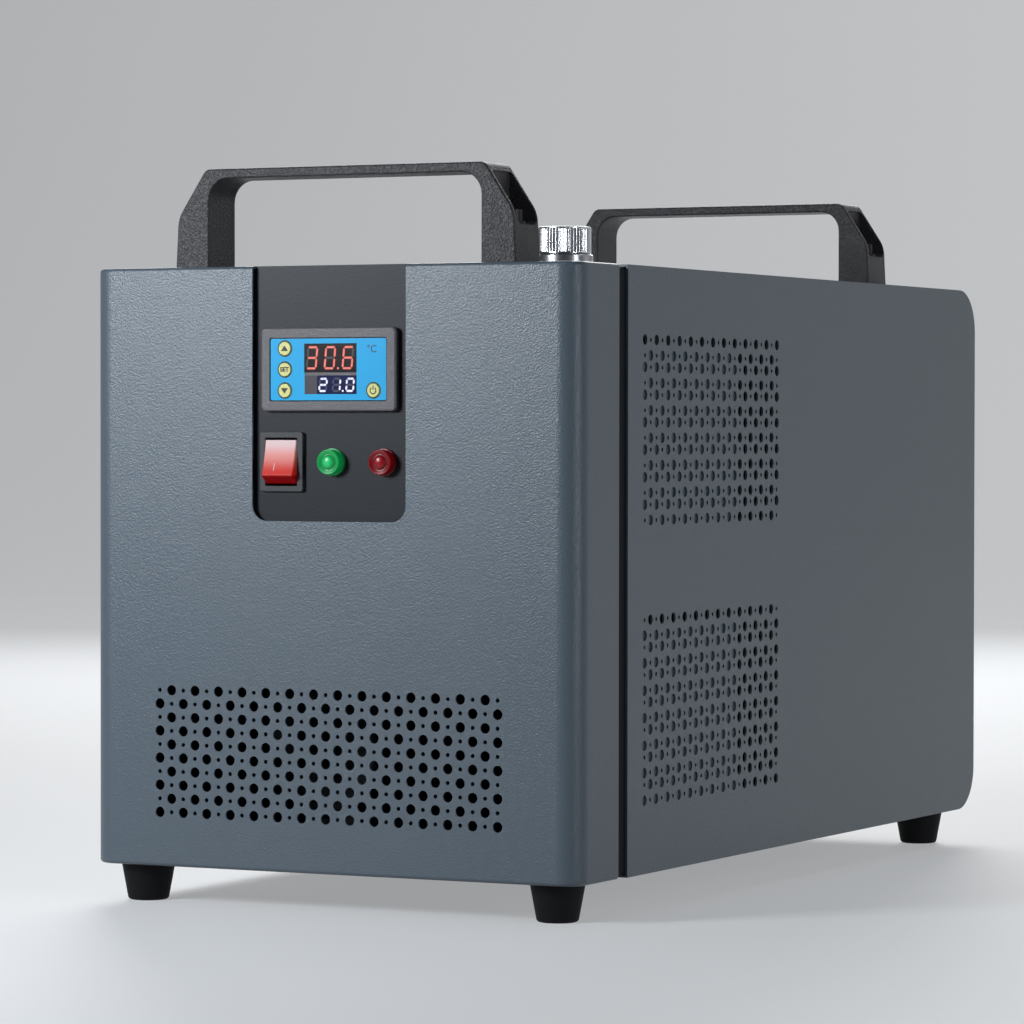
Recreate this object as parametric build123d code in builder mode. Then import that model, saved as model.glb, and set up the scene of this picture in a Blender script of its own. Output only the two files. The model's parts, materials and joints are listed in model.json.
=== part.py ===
import os
from math import cos, hypot, radians, sin, tan

from build123d import *

os.makedirs("parts", exist_ok=True)

# Millimetres. X runs across the width, Y from the front face to the back, Z up from the floor.
# "Depth" below is a distance back from the casing's front face.

# Casing
case_width = 285.0
case_depth = 550.0
case_height = 313.0
sheet = 1.2
front_corner_radius = 12.0
rear_corner_radius = 25.0
fold_radius = 2.0
hood_depth = 47.5
shadow_gap = 10.5
neck_overlap = 12.0
flange_height = 14.0
rear_seam_drop = 65.0
seam = 0.6
fit_gap = 0.3

# Feet
foot_height = 20.0
foot_top_radius = 14.3
foot_bottom_radius = 10.6
foot_edge_radius = 2.0
foot_inset = 21.7
rear_foot_inset = 35.6
foot_bore_radius = 5.0
foot_seat = 8.0
m4_radius = 2.0
m4_head_radius = 3.6
m4_head_height = 2.8

# Control panel, behind a cut-out of the front cover that is open at the top
cutout_width = 90.0
cutout_height = 131.6
cutout_radius = 8.5
cutout_return = 12.0
panel_recess = 3.4
panel_margin = 12.0
standoff_radius = 2.5

# Temperature controller
bezel_width = 79.0
bezel_height = 43.0
bezel_thickness = 4.0
bezel_chamfer = 1.2
bezel_radius = 2.5
controller_drop = 53.5
film_width = 68.0
film_height = 33.0
film_recess = 0.4
body_width = 70.5
body_height = 28.6
body_length = 68.0
body_wall = 1.8
key_radius = 3.5
key_gap = 0.3
key_proud = 0.5
key_length = 3.2
key_travel = 0.4
key_column = 25.4
power_key_column = 26.5
key_pitch = 10.8
window_across = 1.3
window_rise = 5.9
window_width = 30.7
window_height = 14.8
setpoint_drop = 7.9
setpoint_width = 30.2
setpoint_height = 9.6
clamp_length = 22.0
clamp_width = 5.0
clamp_height = 14.0
clamp_taper = 4.0

# Rocker switch
rocker_across = -28.5
rocker_drop = 101.0
rocker_bezel_width = 25.4
rocker_bezel_height = 30.8
rocker_bezel_thickness = 2.2
rocker_body_width = 21.0
rocker_body_height = 26.8
rocker_body_length = 24.0
rocker_width = 16.0
rocker_height = 21.2
rocker_side_gap = 0.5
rocker_end_gap = 0.4
rocker_tilt = 11.0
rocker_edge = 5.0
rocker_pivot_depth = 5.0
rocker_cavity_depth = 17.0
trunnion_radius = 1.5
trunnion_fit = 0.05
trunnion_reach = 1.5

# Pilot lamps
lamp_across = 1.0
lamp_pitch = 30.0
lamp_collar_radius = 7.0
lamp_collar_height = 2.0
lamp_dome_radius = 5.4
lamp_dome_height = 7.0
lamp_body_radius = 5.2
lamp_body_length = 26.0
lamp_nut_radius = 8.0
lamp_nut_height = 4.0

# Air grilles: rows of holes, every other column, with the rows staggered
hole_radius = 2.75
grille_pitch = 7.08
front_columns = 29
front_rows = 10
front_row_pitch = 7.1
front_grille_offset = -1.5
front_grille_drop = 220.6
side_columns = 25
side_rows = 14
side_wide_step = 8.05
side_narrow_step = 6.1
side_grille_start = 78.3
upper_grille_drop = 37.9
lower_grille_drop = 182.1
backing_depth = 197.0
backing_start = 72.0
backing_margin = 6.0

# Carrying handles
handle_reach = 98.7
handle_foot_reach = 100.0
handle_top_reach = 82.0
handle_inner_reach = 80.1
handle_height = 51.7
handle_knee = 26.5
handle_bar = 5.0
handle_depth = 28.0
handle_inner_radius = 11.0
handle_pocket_radius = 11.0
handle_pocket_floor = 20.0
handle_pocket_wall = 3.4
handle_edge = 0.8
handle_bend = 2.5
front_handle_depth = 29.0
rear_handle_depth = 498.0
m6_radius = 3.0
m6_head_radius = 5.0
m6_head_height = 6.0
washer_radius = 6.5
washer_thickness = 1.6
screw_tail = 8.0

# Filler
filler_depth = 274.5
neck_bore = 9.5
neck_radius = 12.0
collar_radius = 16.3
collar_height = 14.8
neck_flange_radius = 22.0
neck_flange_height = 2.5
cap_radius = 15.3
cap_height = 15.4
cap_lift = 0.3
cap_wall = 2.6
cap_crown = 1.4
thread_fit = 0.05
flute_count = 48
flute_depth = 0.45
gasket_thickness = 2.0
gasket_gap = 0.1

# Tank, its shelf and the evaporator
tank_width = 210.0
tank_offset = -10.0
tank_length = 190.0
tank_top_gap = 13.8
tank_height = 113.0
tank_wall = 3.0
tank_radius = 8.0
shelf_thickness = 2.0
shelf_start = 206.0
shelf_end = 385.0
shelf_inset = 12.0
shelf_wing_start = 256.0
coil_radius = 62.0
coil_pitch = 14.0
coil_turns = 4.5
coil_lift = 24.0
coil_lead = 120.0
sleeve_radius = 4.5

# Compressor
compressor_radius = 62.0
compressor_height = 146.0
compressor_dome = 24.0
compressor_seam = 3.0
compressor_across = 30.0
compressor_depth = 330.0
compressor_plate = 3.0
terminal_width = 36.0
grommet_height = 11.0
grommet_radius = 9.0
grommet_ring = 72.0

# Condenser and its fan, which share one centre line
air_across = -25.0
fan_drop = 168.0
condenser_width = 180.0
condenser_height = 200.0
condenser_thickness = 38.0
condenser_front = 452.0
duct_wall = 1.5
fin_pitch = 9.0
fin_groove = 6.0
fin_cut = 8.0
bend_count = 5
bend_radius = 10.0
fan_size = 160.0
fan_depth = 38.0
fan_bore = 70.5
fan_tip_gap = 2.5
fan_hub_radius = 30.0
fan_hub_wall = 3.0
fan_motor_radius = 20.0
fan_strut = 8.0
fan_strut_depth = 4.0
fan_gap = 1.5
fan_shaft_radius = 4.0
fan_shaft_fit = 0.05
fan_blades = 7
blade_root_chord = 30.0
blade_tip_chord = 42.0
blade_root_pitch = 42.0
blade_tip_pitch = 24.0
blade_thickness = 2.0
fan_screw_pitch = 142.0
guard_rings = 5
guard_ring_pitch = 14.0
guard_ring_width = 1.8
guard_thickness = 1.8
guard_standoff = 3.0
guard_bar = 3.0
guard_lug = 6.0

# Pump
pump_across = -60.0
pump_height = 55.0
pump_depth = 98.0
pump_radius = 36.0
pump_length = 28.0
pump_wall = 4.0
pump_foot_width = 46.0
pump_foot_length = 60.0
motor_radius = 30.0
motor_length = 66.0
motor_cap = 8.0
motor_rib_count = 16
motor_rib_depth = 2.0
impeller_radius = 26.0
impeller_disc = 3.0
impeller_gap = 2.0
impeller_vanes = 6
vane_thickness = 2.4
pump_shaft_radius = 2.5
pump_shaft_fit = 0.05
pump_shaft_length = 40.0

# Hoses, spigots and ports
hose_radius = 8.0
hose_bore = 5.5
hose_bend = 22.0
spigot_bore = 3.6
spigot_length = 13.0
hose_level = 165.0
hose_front = 62.0
suction_inset = 82.0
suction_level = 150.0
drain_inset = 90.0
drain_back = 75.0
drain_level = 38.0
drain_turn = 415.0
drain_rise = 500.0
hose_turn = 470.0
barb_across = 80.0
barb_pitch = 38.0
barb_drop = 93.0
barb_length = 26.0
barb_step = 1.0
barb_count = 3
port_hole_radius = 7.0
nut_radius = 11.0
nut_height = 6.0
drain_across = 104.0
drain_drop = 208.0
plug_radius = 8.0
plug_thread = 5.0
plug_length = 9.0

# Refrigerant circuit
line_radius = 4.0
line_bend = 12.0
discharge_across = -60.0
discharge_level = 140.0
discharge_turn = 415.0
discharge_drop = 88.0
drier_across = -105.0
drier_depth = 410.0
drier_low = 100.0
drier_radius = 11.0
drier_length = 80.0
liquid_level = 80.0
capillary_radius = 2.0
capillary_bend = 7.0
suction_turn = 424.0
suction_stub = 120.0

# Power inlet
inlet_across = 104.0
inlet_drop = 160.0
inlet_width = 27.5
inlet_height = 20.0
inlet_flange_width = 50.0
inlet_flange_height = 24.0
inlet_flange_thickness = 2.5
inlet_length = 24.0
inlet_screw_pitch = 40.0
socket_width = 24.5
socket_height = 16.0
socket_depth = 18.0
socket_chamfer = 4.0
pin_width = 4.0
pin_thickness = 2.0
pin_spread = 7.0
pin_length = 15.0

# Worked out from the sizes above
front_reach = lamp_dome_height - panel_recess
rear_reach = barb_length
front_y = front_reach - (front_reach + case_depth + rear_reach) / 2
rear_y = front_y + case_depth
bottom_z = foot_height
top_z = foot_height + case_height
body_start = hood_depth + shadow_gap
inner_width = case_width - 2 * sheet
side_x = case_width / 2
panel_face = panel_recess
panel_back = panel_recess + sheet
clear = 1.0


def facing(depth):
    """The upright plane at a depth, facing the front, with its height as the second coordinate."""
    return Plane(origin=(0, front_y + depth, 0), x_dir=(1, 0, 0), z_dir=(0, -1, 0))


def save(part, name):
    part.label = name
    export_step(part, f"parts/{name}.step")


def staggered(columns, row_heights, start, pitch, first):
    """Centres of the holes: every other column, moved by one column from row to row."""
    return [
        (start + column * pitch, height)
        for row, height in enumerate(row_heights)
        for column in range(columns)
        if (column + row + first) % 2 == 0
    ]


def stepped_rows(top):
    """Heights of the side grille's rows, with wide and narrow steps in turn."""
    heights = [top]
    for row in range(side_rows - 1):
        heights.append(heights[-1] - (side_narrow_step if row % 2 else side_wide_step))
    return heights


# Front cover: one drawn sheet with a face, four returns and rounded upright edges
front_holes = staggered(
    front_columns,
    [top_z - front_grille_drop - row * front_row_pitch for row in range(front_rows)],
    front_grille_offset - (front_columns - 1) / 2 * grille_pitch,
    grille_pitch,
    1,
)
handle_screw_x = (handle_inner_reach + handle_pocket_wall + handle_reach) / 2
foot_x = side_x - foot_inset
cutout_bottom = top_z - cutout_height

with BuildPart() as front_cover:
    with BuildSketch(Plane.XY.offset(bottom_z)) as hood_plan:
        with Locations((0, front_y + hood_depth / 2)):
            Rectangle(case_width, hood_depth)
        fillet(hood_plan.vertices().group_by(Axis.Y)[0], front_corner_radius)
    extrude(amount=case_height)
    ends = front_cover.faces().sort_by(Axis.Z)
    rims = [e for e in ends[0].edges() + ends[-1].edges() if e.center().Y < front_y + hood_depth - clear]
    fillet(rims, fold_radius)
    offset(amount=-sheet, openings=front_cover.faces().sort_by(Axis.Y)[-1])
    with BuildSketch(facing(-clear)) as cutout:
        with Locations((0, cutout_bottom + cutout_height)):
            Rectangle(cutout_width, 2 * cutout_height)
        fillet(cutout.vertices().group_by(Axis.Y)[0], cutout_radius)
    extrude(amount=-cutout_return - clear, mode=Mode.SUBTRACT)
    with BuildSketch(facing(0)):
        with Locations(front_holes):
            RegularPolygon(hole_radius, 6)
    extrude(amount=-sheet, mode=Mode.SUBTRACT, clean=False)
    with BuildSketch(Plane.XY.offset(top_z - sheet)):
        with Locations([(x, front_y + front_handle_depth) for x in (-handle_screw_x, handle_screw_x)]):
            Circle(m6_radius + fit_gap)
    extrude(amount=sheet, mode=Mode.SUBTRACT, clean=False)
    with BuildSketch(Plane.XY.offset(bottom_z)):
        with Locations([(x, front_y + foot_inset) for x in (-foot_x, foot_x)]):
            Circle(m4_radius + fit_gap)
    extrude(amount=sheet, mode=Mode.SUBTRACT, clean=False)
save(front_cover.part, "front_cover")

# Control panel: a plate behind the cut-out, whose top fills the cut-out's slot
panel_width = cutout_width + 2 * panel_margin
panel_bottom = cutout_bottom - panel_margin
panel_top = top_z - sheet
controller_z = top_z - controller_drop
rocker_z = top_z - rocker_drop
lamps = {"green_lamp": lamp_across, "red_lamp": lamp_across + lamp_pitch}
standoffs = [
    (x, z)
    for x in (-(cutout_width + panel_margin) / 2, (cutout_width + panel_margin) / 2)
    for z in (panel_bottom + panel_margin / 2, panel_top - panel_margin)
]

with BuildPart() as control_panel:
    with BuildSketch(facing(panel_face)):
        with Locations((0, (panel_top + panel_bottom) / 2)):
            Rectangle(panel_width, panel_top - panel_bottom)
    extrude(amount=-sheet)
    lip_width = cutout_width - 2 * fit_gap
    lip_length = cutout_return - panel_face - fit_gap
    with BuildSketch(Plane.XY.offset(panel_top)):
        with Locations((0, front_y + panel_face + lip_length / 2)):
            Rectangle(lip_width, lip_length)
    extrude(amount=sheet)
    with BuildSketch(facing(panel_face)):
        with Locations(standoffs):
            Circle(standoff_radius)
    extrude(amount=panel_face - sheet)
    with BuildSketch(facing(panel_face)):
        with Locations((0, controller_z)):
            Rectangle(body_width + 2 * fit_gap, body_height + 2 * fit_gap)
        with Locations((rocker_across, rocker_z)):
            Rectangle(rocker_body_width + 2 * fit_gap, rocker_body_height + 2 * fit_gap)
        with Locations([(x, rocker_z) for x in lamps.values()]):
            Circle(lamp_body_radius + fit_gap)
    extrude(amount=-sheet, mode=Mode.SUBTRACT)
save(control_panel.part, "control_panel")

# Neck frame: the dark ring in the gap between the front cover and the body
with BuildPart() as neck_frame:
    with BuildSketch(facing(hood_depth - neck_overlap)) as ring:
        with Locations((0, (top_z + bottom_z) / 2)):
            Rectangle(inner_width, case_height - 2 * sheet)
            fillet(ring.vertices(), fold_radius)
            Rectangle(inner_width - 2 * sheet, case_height - 4 * sheet, mode=Mode.SUBTRACT)
    extrude(amount=-(shadow_gap + 2 * neck_overlap))
save(neck_frame.part, "neck_frame")

# Side panels: flat sheets whose rear corners follow the bends of the top cover and the base
side_length = case_depth - body_start
side_middle = front_y + (body_start + case_depth) / 2


def side_sheet():
    """Outline of a side panel, as a sketch in the YZ plane."""
    with Locations((side_middle, (top_z + bottom_z) / 2)):
        outline = Rectangle(side_length, case_height)
    rear = outline.vertices().group_by(Axis.X)[-1]
    return fillet(rear, rear_corner_radius)


with BuildPart() as left_side_panel:
    with BuildSketch(Plane.YZ.offset(-side_x)):
        side_sheet()
    extrude(amount=sheet)
save(left_side_panel.part, "left_side_panel")

upper_rows = stepped_rows(top_z - upper_grille_drop)
lower_rows = stepped_rows(top_z - lower_grille_drop)
side_holes = staggered(side_columns, upper_rows, front_y + side_grille_start, grille_pitch, 0)
side_holes += staggered(side_columns, lower_rows, front_y + side_grille_start, grille_pitch, 1)

with BuildPart() as right_side_panel:
    with BuildSketch(Plane.YZ.offset(side_x - sheet)):
        side_sheet()
        with Locations(side_holes):
            RegularPolygon(hole_radius, 4, mode=Mode.SUBTRACT)
    extrude(amount=sheet)
save(right_side_panel.part, "right_side_panel")

# Backing plates: they close the front two thirds of each side grille, below its first row
for name, rows in (("upper_backing_plate", upper_rows), ("lower_backing_plate", lower_rows)):
    plate_top = (rows[0] + rows[1]) / 2
    plate_bottom = rows[-1] - backing_margin
    with BuildPart() as backing_plate:
        with BuildSketch(Plane.YZ.offset(side_x - 2 * sheet)):
            with Locations((front_y + (backing_start + backing_depth) / 2, (plate_top + plate_bottom) / 2)):
                Rectangle(backing_depth - backing_start, plate_top - plate_bottom)
        extrude(amount=sheet)
    save(backing_plate.part, name)


def bent_sheet(flat_z, end_z, inside):
    """Section of the top cover or the base: a flat run, a bend at the back and an upright end."""
    with BuildSketch(Plane.YZ.offset(-inner_width / 2)) as section:
        with BuildLine():
            FilletPolyline(
                (front_y + body_start, flat_z), (rear_y, flat_z), (rear_y, end_z),
                radius=rear_corner_radius,
            )
            offset(amount=sheet, side=inside)
        make_face()
    return section.sketch


cover_low = top_z - rear_seam_drop
base_high = bottom_z + rear_seam_drop
flange_start = body_start + neck_overlap
flange_length = case_depth - rear_corner_radius - flange_start
flanges = [
    (x, front_y + flange_start + flange_length / 2)
    for x in (-(inner_width - sheet) / 2, (inner_width - sheet) / 2)
]

with BuildPart() as top_cover:
    extrude(bent_sheet(top_z, cover_low, Side.RIGHT), amount=inner_width)
    with BuildSketch(Plane.XY.offset(top_z - sheet - flange_height)):
        with Locations(flanges):
            Rectangle(sheet, flange_length)
    extrude(amount=flange_height)
    with BuildSketch(Plane.XY.offset(top_z - sheet)):
        with Locations((0, front_y + filler_depth)):
            Circle(neck_radius + 2 * fit_gap)
        with Locations([(x, front_y + rear_handle_depth) for x in (-handle_screw_x, handle_screw_x)]):
            Circle(m6_radius + fit_gap)
    extrude(amount=sheet, mode=Mode.SUBTRACT)
save(top_cover.part, "top_cover")

compressor_y = front_y + compressor_depth
grommets = [
    (compressor_across + grommet_ring * cos(radians(angle)), compressor_y + grommet_ring * sin(radians(angle)))
    for angle in (30, 150, 270)
]
with BuildPart() as base_tray:
    extrude(bent_sheet(bottom_z, base_high, Side.LEFT), amount=inner_width)
    with BuildSketch(Plane.XY.offset(bottom_z + sheet)):
        with Locations(flanges):
            Rectangle(sheet, flange_length)
    extrude(amount=flange_height)
    with BuildSketch(Plane.XY.offset(bottom_z)):
        with Locations([(x, rear_y - rear_foot_inset) for x in (-foot_x, foot_x)]):
            Circle(m4_radius + fit_gap)
        with Locations(grommets):
            Circle(m4_radius + fit_gap)
    extrude(amount=sheet, mode=Mode.SUBTRACT)
save(base_tray.part, "base_tray")

# Rear panel: flat, between the bends, with the fan opening, the ports and the power inlet
fan_z = top_z - fan_drop
barb_z = top_z - barb_drop
inlet_z = top_z - inlet_drop
drain_z = top_z - drain_drop
outlet_across = barb_across + barb_pitch
ports = [(barb_across, barb_z), (outlet_across, barb_z), (drain_across, drain_z)]
rear_low = base_high + seam
rear_high = cover_low - seam

with BuildPart() as rear_panel:
    with BuildSketch(facing(case_depth - sheet)):
        with Locations((0, (rear_low + rear_high) / 2)):
            Rectangle(inner_width, rear_high - rear_low)
        with Locations((air_across, fan_z)):
            Circle(fan_bore, mode=Mode.SUBTRACT)
            with GridLocations(fan_screw_pitch, fan_screw_pitch, 2, 2):
                Circle(m4_radius + fit_gap, mode=Mode.SUBTRACT)
        with Locations(ports):
            Circle(port_hole_radius, mode=Mode.SUBTRACT)
        with Locations((inlet_across, inlet_z)):
            Rectangle(inlet_width + 2 * fit_gap, inlet_height + 2 * fit_gap, mode=Mode.SUBTRACT)
            with GridLocations(inlet_screw_pitch, 0, 2, 1):
                Circle(m4_radius, mode=Mode.SUBTRACT)
    extrude(amount=-sheet)
    with BuildSketch(facing(case_depth - sheet - flange_height)):
        with Locations([(x, (rear_low + rear_high) / 2) for x in (flanges[0][0], flanges[1][0])]):
            Rectangle(sheet, rear_high - rear_low)
    extrude(amount=-flange_height)
save(rear_panel.part, "rear_panel")

# Feet: tapered rubber cones with a bore for the screw
feet = {
    "front_left_foot": (-foot_x, front_y + foot_inset),
    "front_right_foot": (foot_x, front_y + foot_inset),
    "rear_left_foot": (-foot_x, rear_y - rear_foot_inset),
    "rear_right_foot": (foot_x, rear_y - rear_foot_inset),
}
for name, (x, y) in feet.items():
    with BuildPart() as foot:
        with BuildSketch(Plane.XY) as sole:
            with Locations((x, y)):
                Circle(foot_bottom_radius)
        with BuildSketch(Plane.XY.offset(foot_height)) as seat:
            with Locations((x, y)):
                Circle(foot_top_radius)
        loft()
        fillet(foot.faces().sort_by(Axis.Z)[0].edges(), foot_edge_radius)
        with BuildSketch(Plane.XY):
            with Locations((x, y)):
                Circle(foot_bore_radius)
        extrude(amount=foot_height - foot_seat, mode=Mode.SUBTRACT)
        with BuildSketch(Plane.XY):
            with Locations((x, y)):
                Circle(m4_radius + fit_gap)
        extrude(amount=foot_height, mode=Mode.SUBTRACT)
    save(foot.part, name)

# Handles: a strap bent from two legs, with a pocket for its screw in each slanted end
knee_z = top_z + handle_knee
bar_z = top_z + handle_height
pocket_z = bar_z - handle_bar - handle_pocket_radius

for name, depth in (("front_handle", front_handle_depth), ("rear_handle", rear_handle_depth)):
    with BuildPart() as handle:
        with BuildSketch(facing(depth - handle_depth / 2)):
            with BuildLine():
                Polyline(
                    (-handle_foot_reach, top_z), (-handle_reach, knee_z), (-handle_top_reach, bar_z),
                    (handle_top_reach, bar_z), (handle_reach, knee_z), (handle_foot_reach, top_z), close=True,
                )
            make_face()
            with BuildSketch(mode=Mode.PRIVATE) as gap:
                with Locations((0, (top_z + bar_z - handle_bar) / 2)):
                    Rectangle(2 * handle_inner_reach, bar_z - handle_bar - top_z)
                fillet(gap.vertices().group_by(Axis.Y)[-1], handle_inner_radius)
            add(gap.sketch, mode=Mode.SUBTRACT)
        extrude(amount=-handle_depth)
        shoulders = [e for e in handle.edges().filter_by(Axis.Y) if e.center().Z > knee_z - clear]
        fillet([e for e in shoulders if abs(e.center().X) > handle_inner_reach], handle_bend)
        faces = handle.faces().filter_by(Axis.Y)
        fillet([e for e in faces.edges() if e.center().Z > top_z + clear], handle_edge)
        for side in (-1, 1):
            face = Plane(
                origin=(side * (handle_inner_reach + handle_pocket_wall), front_y + depth, 0),
                x_dir=(0, side, 0), z_dir=(side, 0, 0),
            )
            with BuildSketch(face):
                with Locations((0, pocket_z)):
                    Circle(handle_pocket_radius)
                floor_z = top_z + handle_pocket_floor
                with Locations((0, (pocket_z + floor_z) / 2)):
                    Rectangle(2 * handle_pocket_radius, pocket_z - floor_z)
            extrude(amount=handle_foot_reach, mode=Mode.SUBTRACT)
        with BuildSketch(Plane.XY.offset(top_z)):
            with Locations([(x, front_y + depth) for x in (-handle_screw_x, handle_screw_x)]):
                Circle(m6_radius + fit_gap)
        extrude(amount=handle_pocket_floor, mode=Mode.SUBTRACT)
    save(handle.part, name)

# Handle screws: socket heads on washers, at the bottom of the pockets
handle_screw_places = [
    (x, front_y + depth)
    for depth in (front_handle_depth, rear_handle_depth)
    for x in (-handle_screw_x, handle_screw_x)
]
with BuildPart() as handle_screws:
    head_z = top_z + handle_pocket_floor + washer_thickness
    with BuildSketch(Plane.XY.offset(top_z + handle_pocket_floor)):
        with Locations(handle_screw_places):
            Circle(washer_radius)
    extrude(amount=washer_thickness)
    with BuildSketch(Plane.XY.offset(head_z)):
        with Locations(handle_screw_places):
            Circle(m6_head_radius)
    extrude(amount=m6_head_height)
    with BuildSketch(Plane.XY.offset(head_z + m6_head_height)):
        with Locations(handle_screw_places):
            RegularPolygon(m6_radius * 0.95, 6)
    extrude(amount=-m6_radius, mode=Mode.SUBTRACT)
    with BuildSketch(Plane.XY.offset(top_z - screw_tail)):
        with Locations(handle_screw_places):
            Circle(m6_radius)
    extrude(amount=screw_tail + handle_pocket_floor)
save(handle_screws.part, "handle_screws")

# Controller bezel: a chamfered frame with a shallow bed for the film and holes for the keys
keys = {
    "up_key": (-key_column, controller_z + key_pitch),
    "set_key": (-key_column, controller_z),
    "down_key": (-key_column, controller_z - key_pitch),
    "power_key": (power_key_column, controller_z - key_pitch),
}
bezel_face = panel_face - bezel_thickness
film_face = bezel_face + film_recess
window_z = controller_z + window_rise
setpoint_z = controller_z - setpoint_drop

with BuildPart() as controller_bezel:
    with BuildSketch(facing(bezel_face)) as frame:
        with Locations((0, controller_z)):
            RectangleRounded(bezel_width, bezel_height, bezel_radius)
    extrude(amount=-bezel_thickness)
    chamfer(controller_bezel.faces().sort_by(Axis.Y)[0].edges(), bezel_chamfer)
    with BuildSketch(facing(bezel_face)):
        with Locations((0, controller_z)):
            RectangleRounded(film_width, film_height, bezel_radius)
    extrude(amount=-2 * film_recess, mode=Mode.SUBTRACT)
    with BuildSketch(facing(bezel_face)):
        with Locations(list(keys.values())):
            Circle(key_radius + key_gap)
    extrude(amount=-bezel_thickness, mode=Mode.SUBTRACT)
save(controller_bezel.part, "controller_bezel")

with BuildPart() as controller_film:
    with BuildSketch(facing(film_face)):
        with Locations((0, controller_z)):
            RectangleRounded(film_width - 2 * fit_gap, film_height - 2 * fit_gap, bezel_radius - fit_gap)
        with Locations(list(keys.values())):
            Circle(key_radius + key_gap, mode=Mode.SUBTRACT)
        with Locations((window_across, window_z)):
            Rectangle(window_width, window_height, mode=Mode.SUBTRACT)
        with Locations((window_across, setpoint_z)):
            Rectangle(setpoint_width, setpoint_height, mode=Mode.SUBTRACT)
    extrude(amount=-film_recess)
save(controller_film.part, "controller_film")

for name, size, height in (
    ("temperature_window", (window_width, window_height), window_z),
    ("setpoint_window", (setpoint_width, setpoint_height), setpoint_z),
):
    with BuildPart() as window:
        with BuildSketch(facing(film_face)):
            with Locations((window_across, height)):
                Rectangle(*size)
        extrude(amount=-film_recess)
    save(window.part, name)

for name, place in keys.items():
    with BuildPart() as key:
        with BuildSketch(facing(film_face - key_proud)):
            with Locations(place):
                Circle(key_radius)
        extrude(amount=-(key_length))
        fillet(key.faces().sort_by(Axis.Y)[0].edges(), key_proud / 2)
    save(key.part, name)

# Controller body: a thin-walled case behind the panel, held by two clamps
with BuildPart() as controller_body:
    with BuildSketch(facing(panel_face)):
        with Locations((0, controller_z)):
            Rectangle(body_width, body_height)
    extrude(amount=-body_length)
    with BuildSketch(facing(panel_face)):
        with Locations((0, controller_z)):
            Rectangle(body_width - 2 * body_wall, body_height - 2 * body_wall)
    extrude(amount=-(body_length - body_wall), mode=Mode.SUBTRACT)
save(controller_body.part, "controller_body")

clamp_reach = (body_width + clamp_width) / 2
with BuildPart() as controller_clamps:
    with BuildSketch(facing(panel_back)):
        with Locations((-clamp_reach, controller_z), (clamp_reach, controller_z)):
            Rectangle(clamp_width, clamp_height)
    extrude(amount=-clamp_length, taper=clamp_taper)
save(controller_clamps.part, "controller_clamps")

# Rocker switch: a bezel and body in one moulding, with a rocker on two trunnions
rocker_face = panel_face - rocker_bezel_thickness
rocker_pivot = (rocker_across, front_y + rocker_pivot_depth, rocker_z)
crown = rocker_pivot_depth - rocker_face
half_height = rocker_height / 2
end_rise = half_height * tan(radians(rocker_tilt))
cavity_width = rocker_width + 2 * rocker_side_gap
cavity_height = 2 * (hypot(crown + end_rise, half_height) + rocker_end_gap)

with BuildPart() as rocker_housing:
    with BuildSketch(facing(rocker_face)):
        with Locations((rocker_across, rocker_z)):
            RectangleRounded(rocker_bezel_width, rocker_bezel_height, 1.5)
    extrude(amount=-rocker_bezel_thickness)
    chamfer(rocker_housing.faces().sort_by(Axis.Y)[0].edges(), 0.6)
    with BuildSketch(facing(panel_face)):
        with Locations((rocker_across, rocker_z)):
            Rectangle(rocker_body_width, rocker_body_height)
    extrude(amount=-rocker_body_length)
    with BuildSketch(facing(rocker_face)):
        with Locations((rocker_across, rocker_z)):
            Rectangle(cavity_width, cavity_height)
    extrude(amount=-rocker_cavity_depth, mode=Mode.SUBTRACT)
    with BuildSketch(Plane.YZ.offset(rocker_across - rocker_body_width / 2)):
        with Locations((rocker_pivot[1], rocker_z)):
            Circle(trunnion_radius + trunnion_fit)
    extrude(amount=rocker_body_width, mode=Mode.SUBTRACT)
save(rocker_housing.part, "rocker_housing")

# The rocker's two faces meet in a shallow valley. At rest the upper one lies level with the bezel.
tilt = radians(rocker_tilt)
tilted = Plane(origin=rocker_pivot, x_dir=(0, cos(tilt), -sin(tilt)), z_dir=(1, 0, 0))
hub = trunnion_radius + clear

with BuildPart() as rocker:
    with BuildSketch(tilted.offset(-rocker_width / 2)):
        with BuildLine():
            Polyline(
                (-crown, 0), (-crown - end_rise, half_height), (rocker_edge - crown, half_height),
                (hub, hub), (hub, -hub),
                (rocker_edge - crown, -half_height), (-crown - end_rise, -half_height), close=True,
            )
        make_face()
    extrude(amount=rocker_width)
    with BuildSketch(Plane.YZ.offset(rocker_across - cavity_width / 2 - trunnion_reach)):
        with Locations((rocker_pivot[1], rocker_z)):
            Circle(trunnion_radius)
    extrude(amount=cavity_width + 2 * trunnion_reach)
save(rocker.part, "rocker")

# Pilot lamps: a stepped lens in front of the panel, a body through it and a nut behind it
for name, x in lamps.items():
    with BuildPart() as lamp:
        with BuildSketch(facing(panel_face)):
            with Locations((x, rocker_z)):
                Circle(lamp_collar_radius)
        extrude(amount=lamp_collar_height)
        fillet(lamp.faces().sort_by(Axis.Y)[0].edges(), 0.5)
        with BuildSketch(facing(panel_face - lamp_collar_height)):
            with Locations((x, rocker_z)):
                Circle(lamp_dome_radius)
        extrude(amount=lamp_dome_height - lamp_collar_height)
        fillet(lamp.faces().sort_by(Axis.Y)[0].edges(), lamp_dome_radius * 0.5)
    save(lamp.part, name)

with BuildPart() as lamp_bodies:
    with BuildSketch(facing(panel_face)):
        with Locations([(x, rocker_z) for x in lamps.values()]):
            Circle(lamp_body_radius)
    extrude(amount=-lamp_body_length)
    with BuildSketch(facing(panel_back)):
        with Locations([(x, rocker_z) for x in lamps.values()]):
            RegularPolygon(lamp_nut_radius, 6)
    extrude(amount=-lamp_nut_height)
save(lamp_bodies.part, "lamp_bodies")

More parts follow.
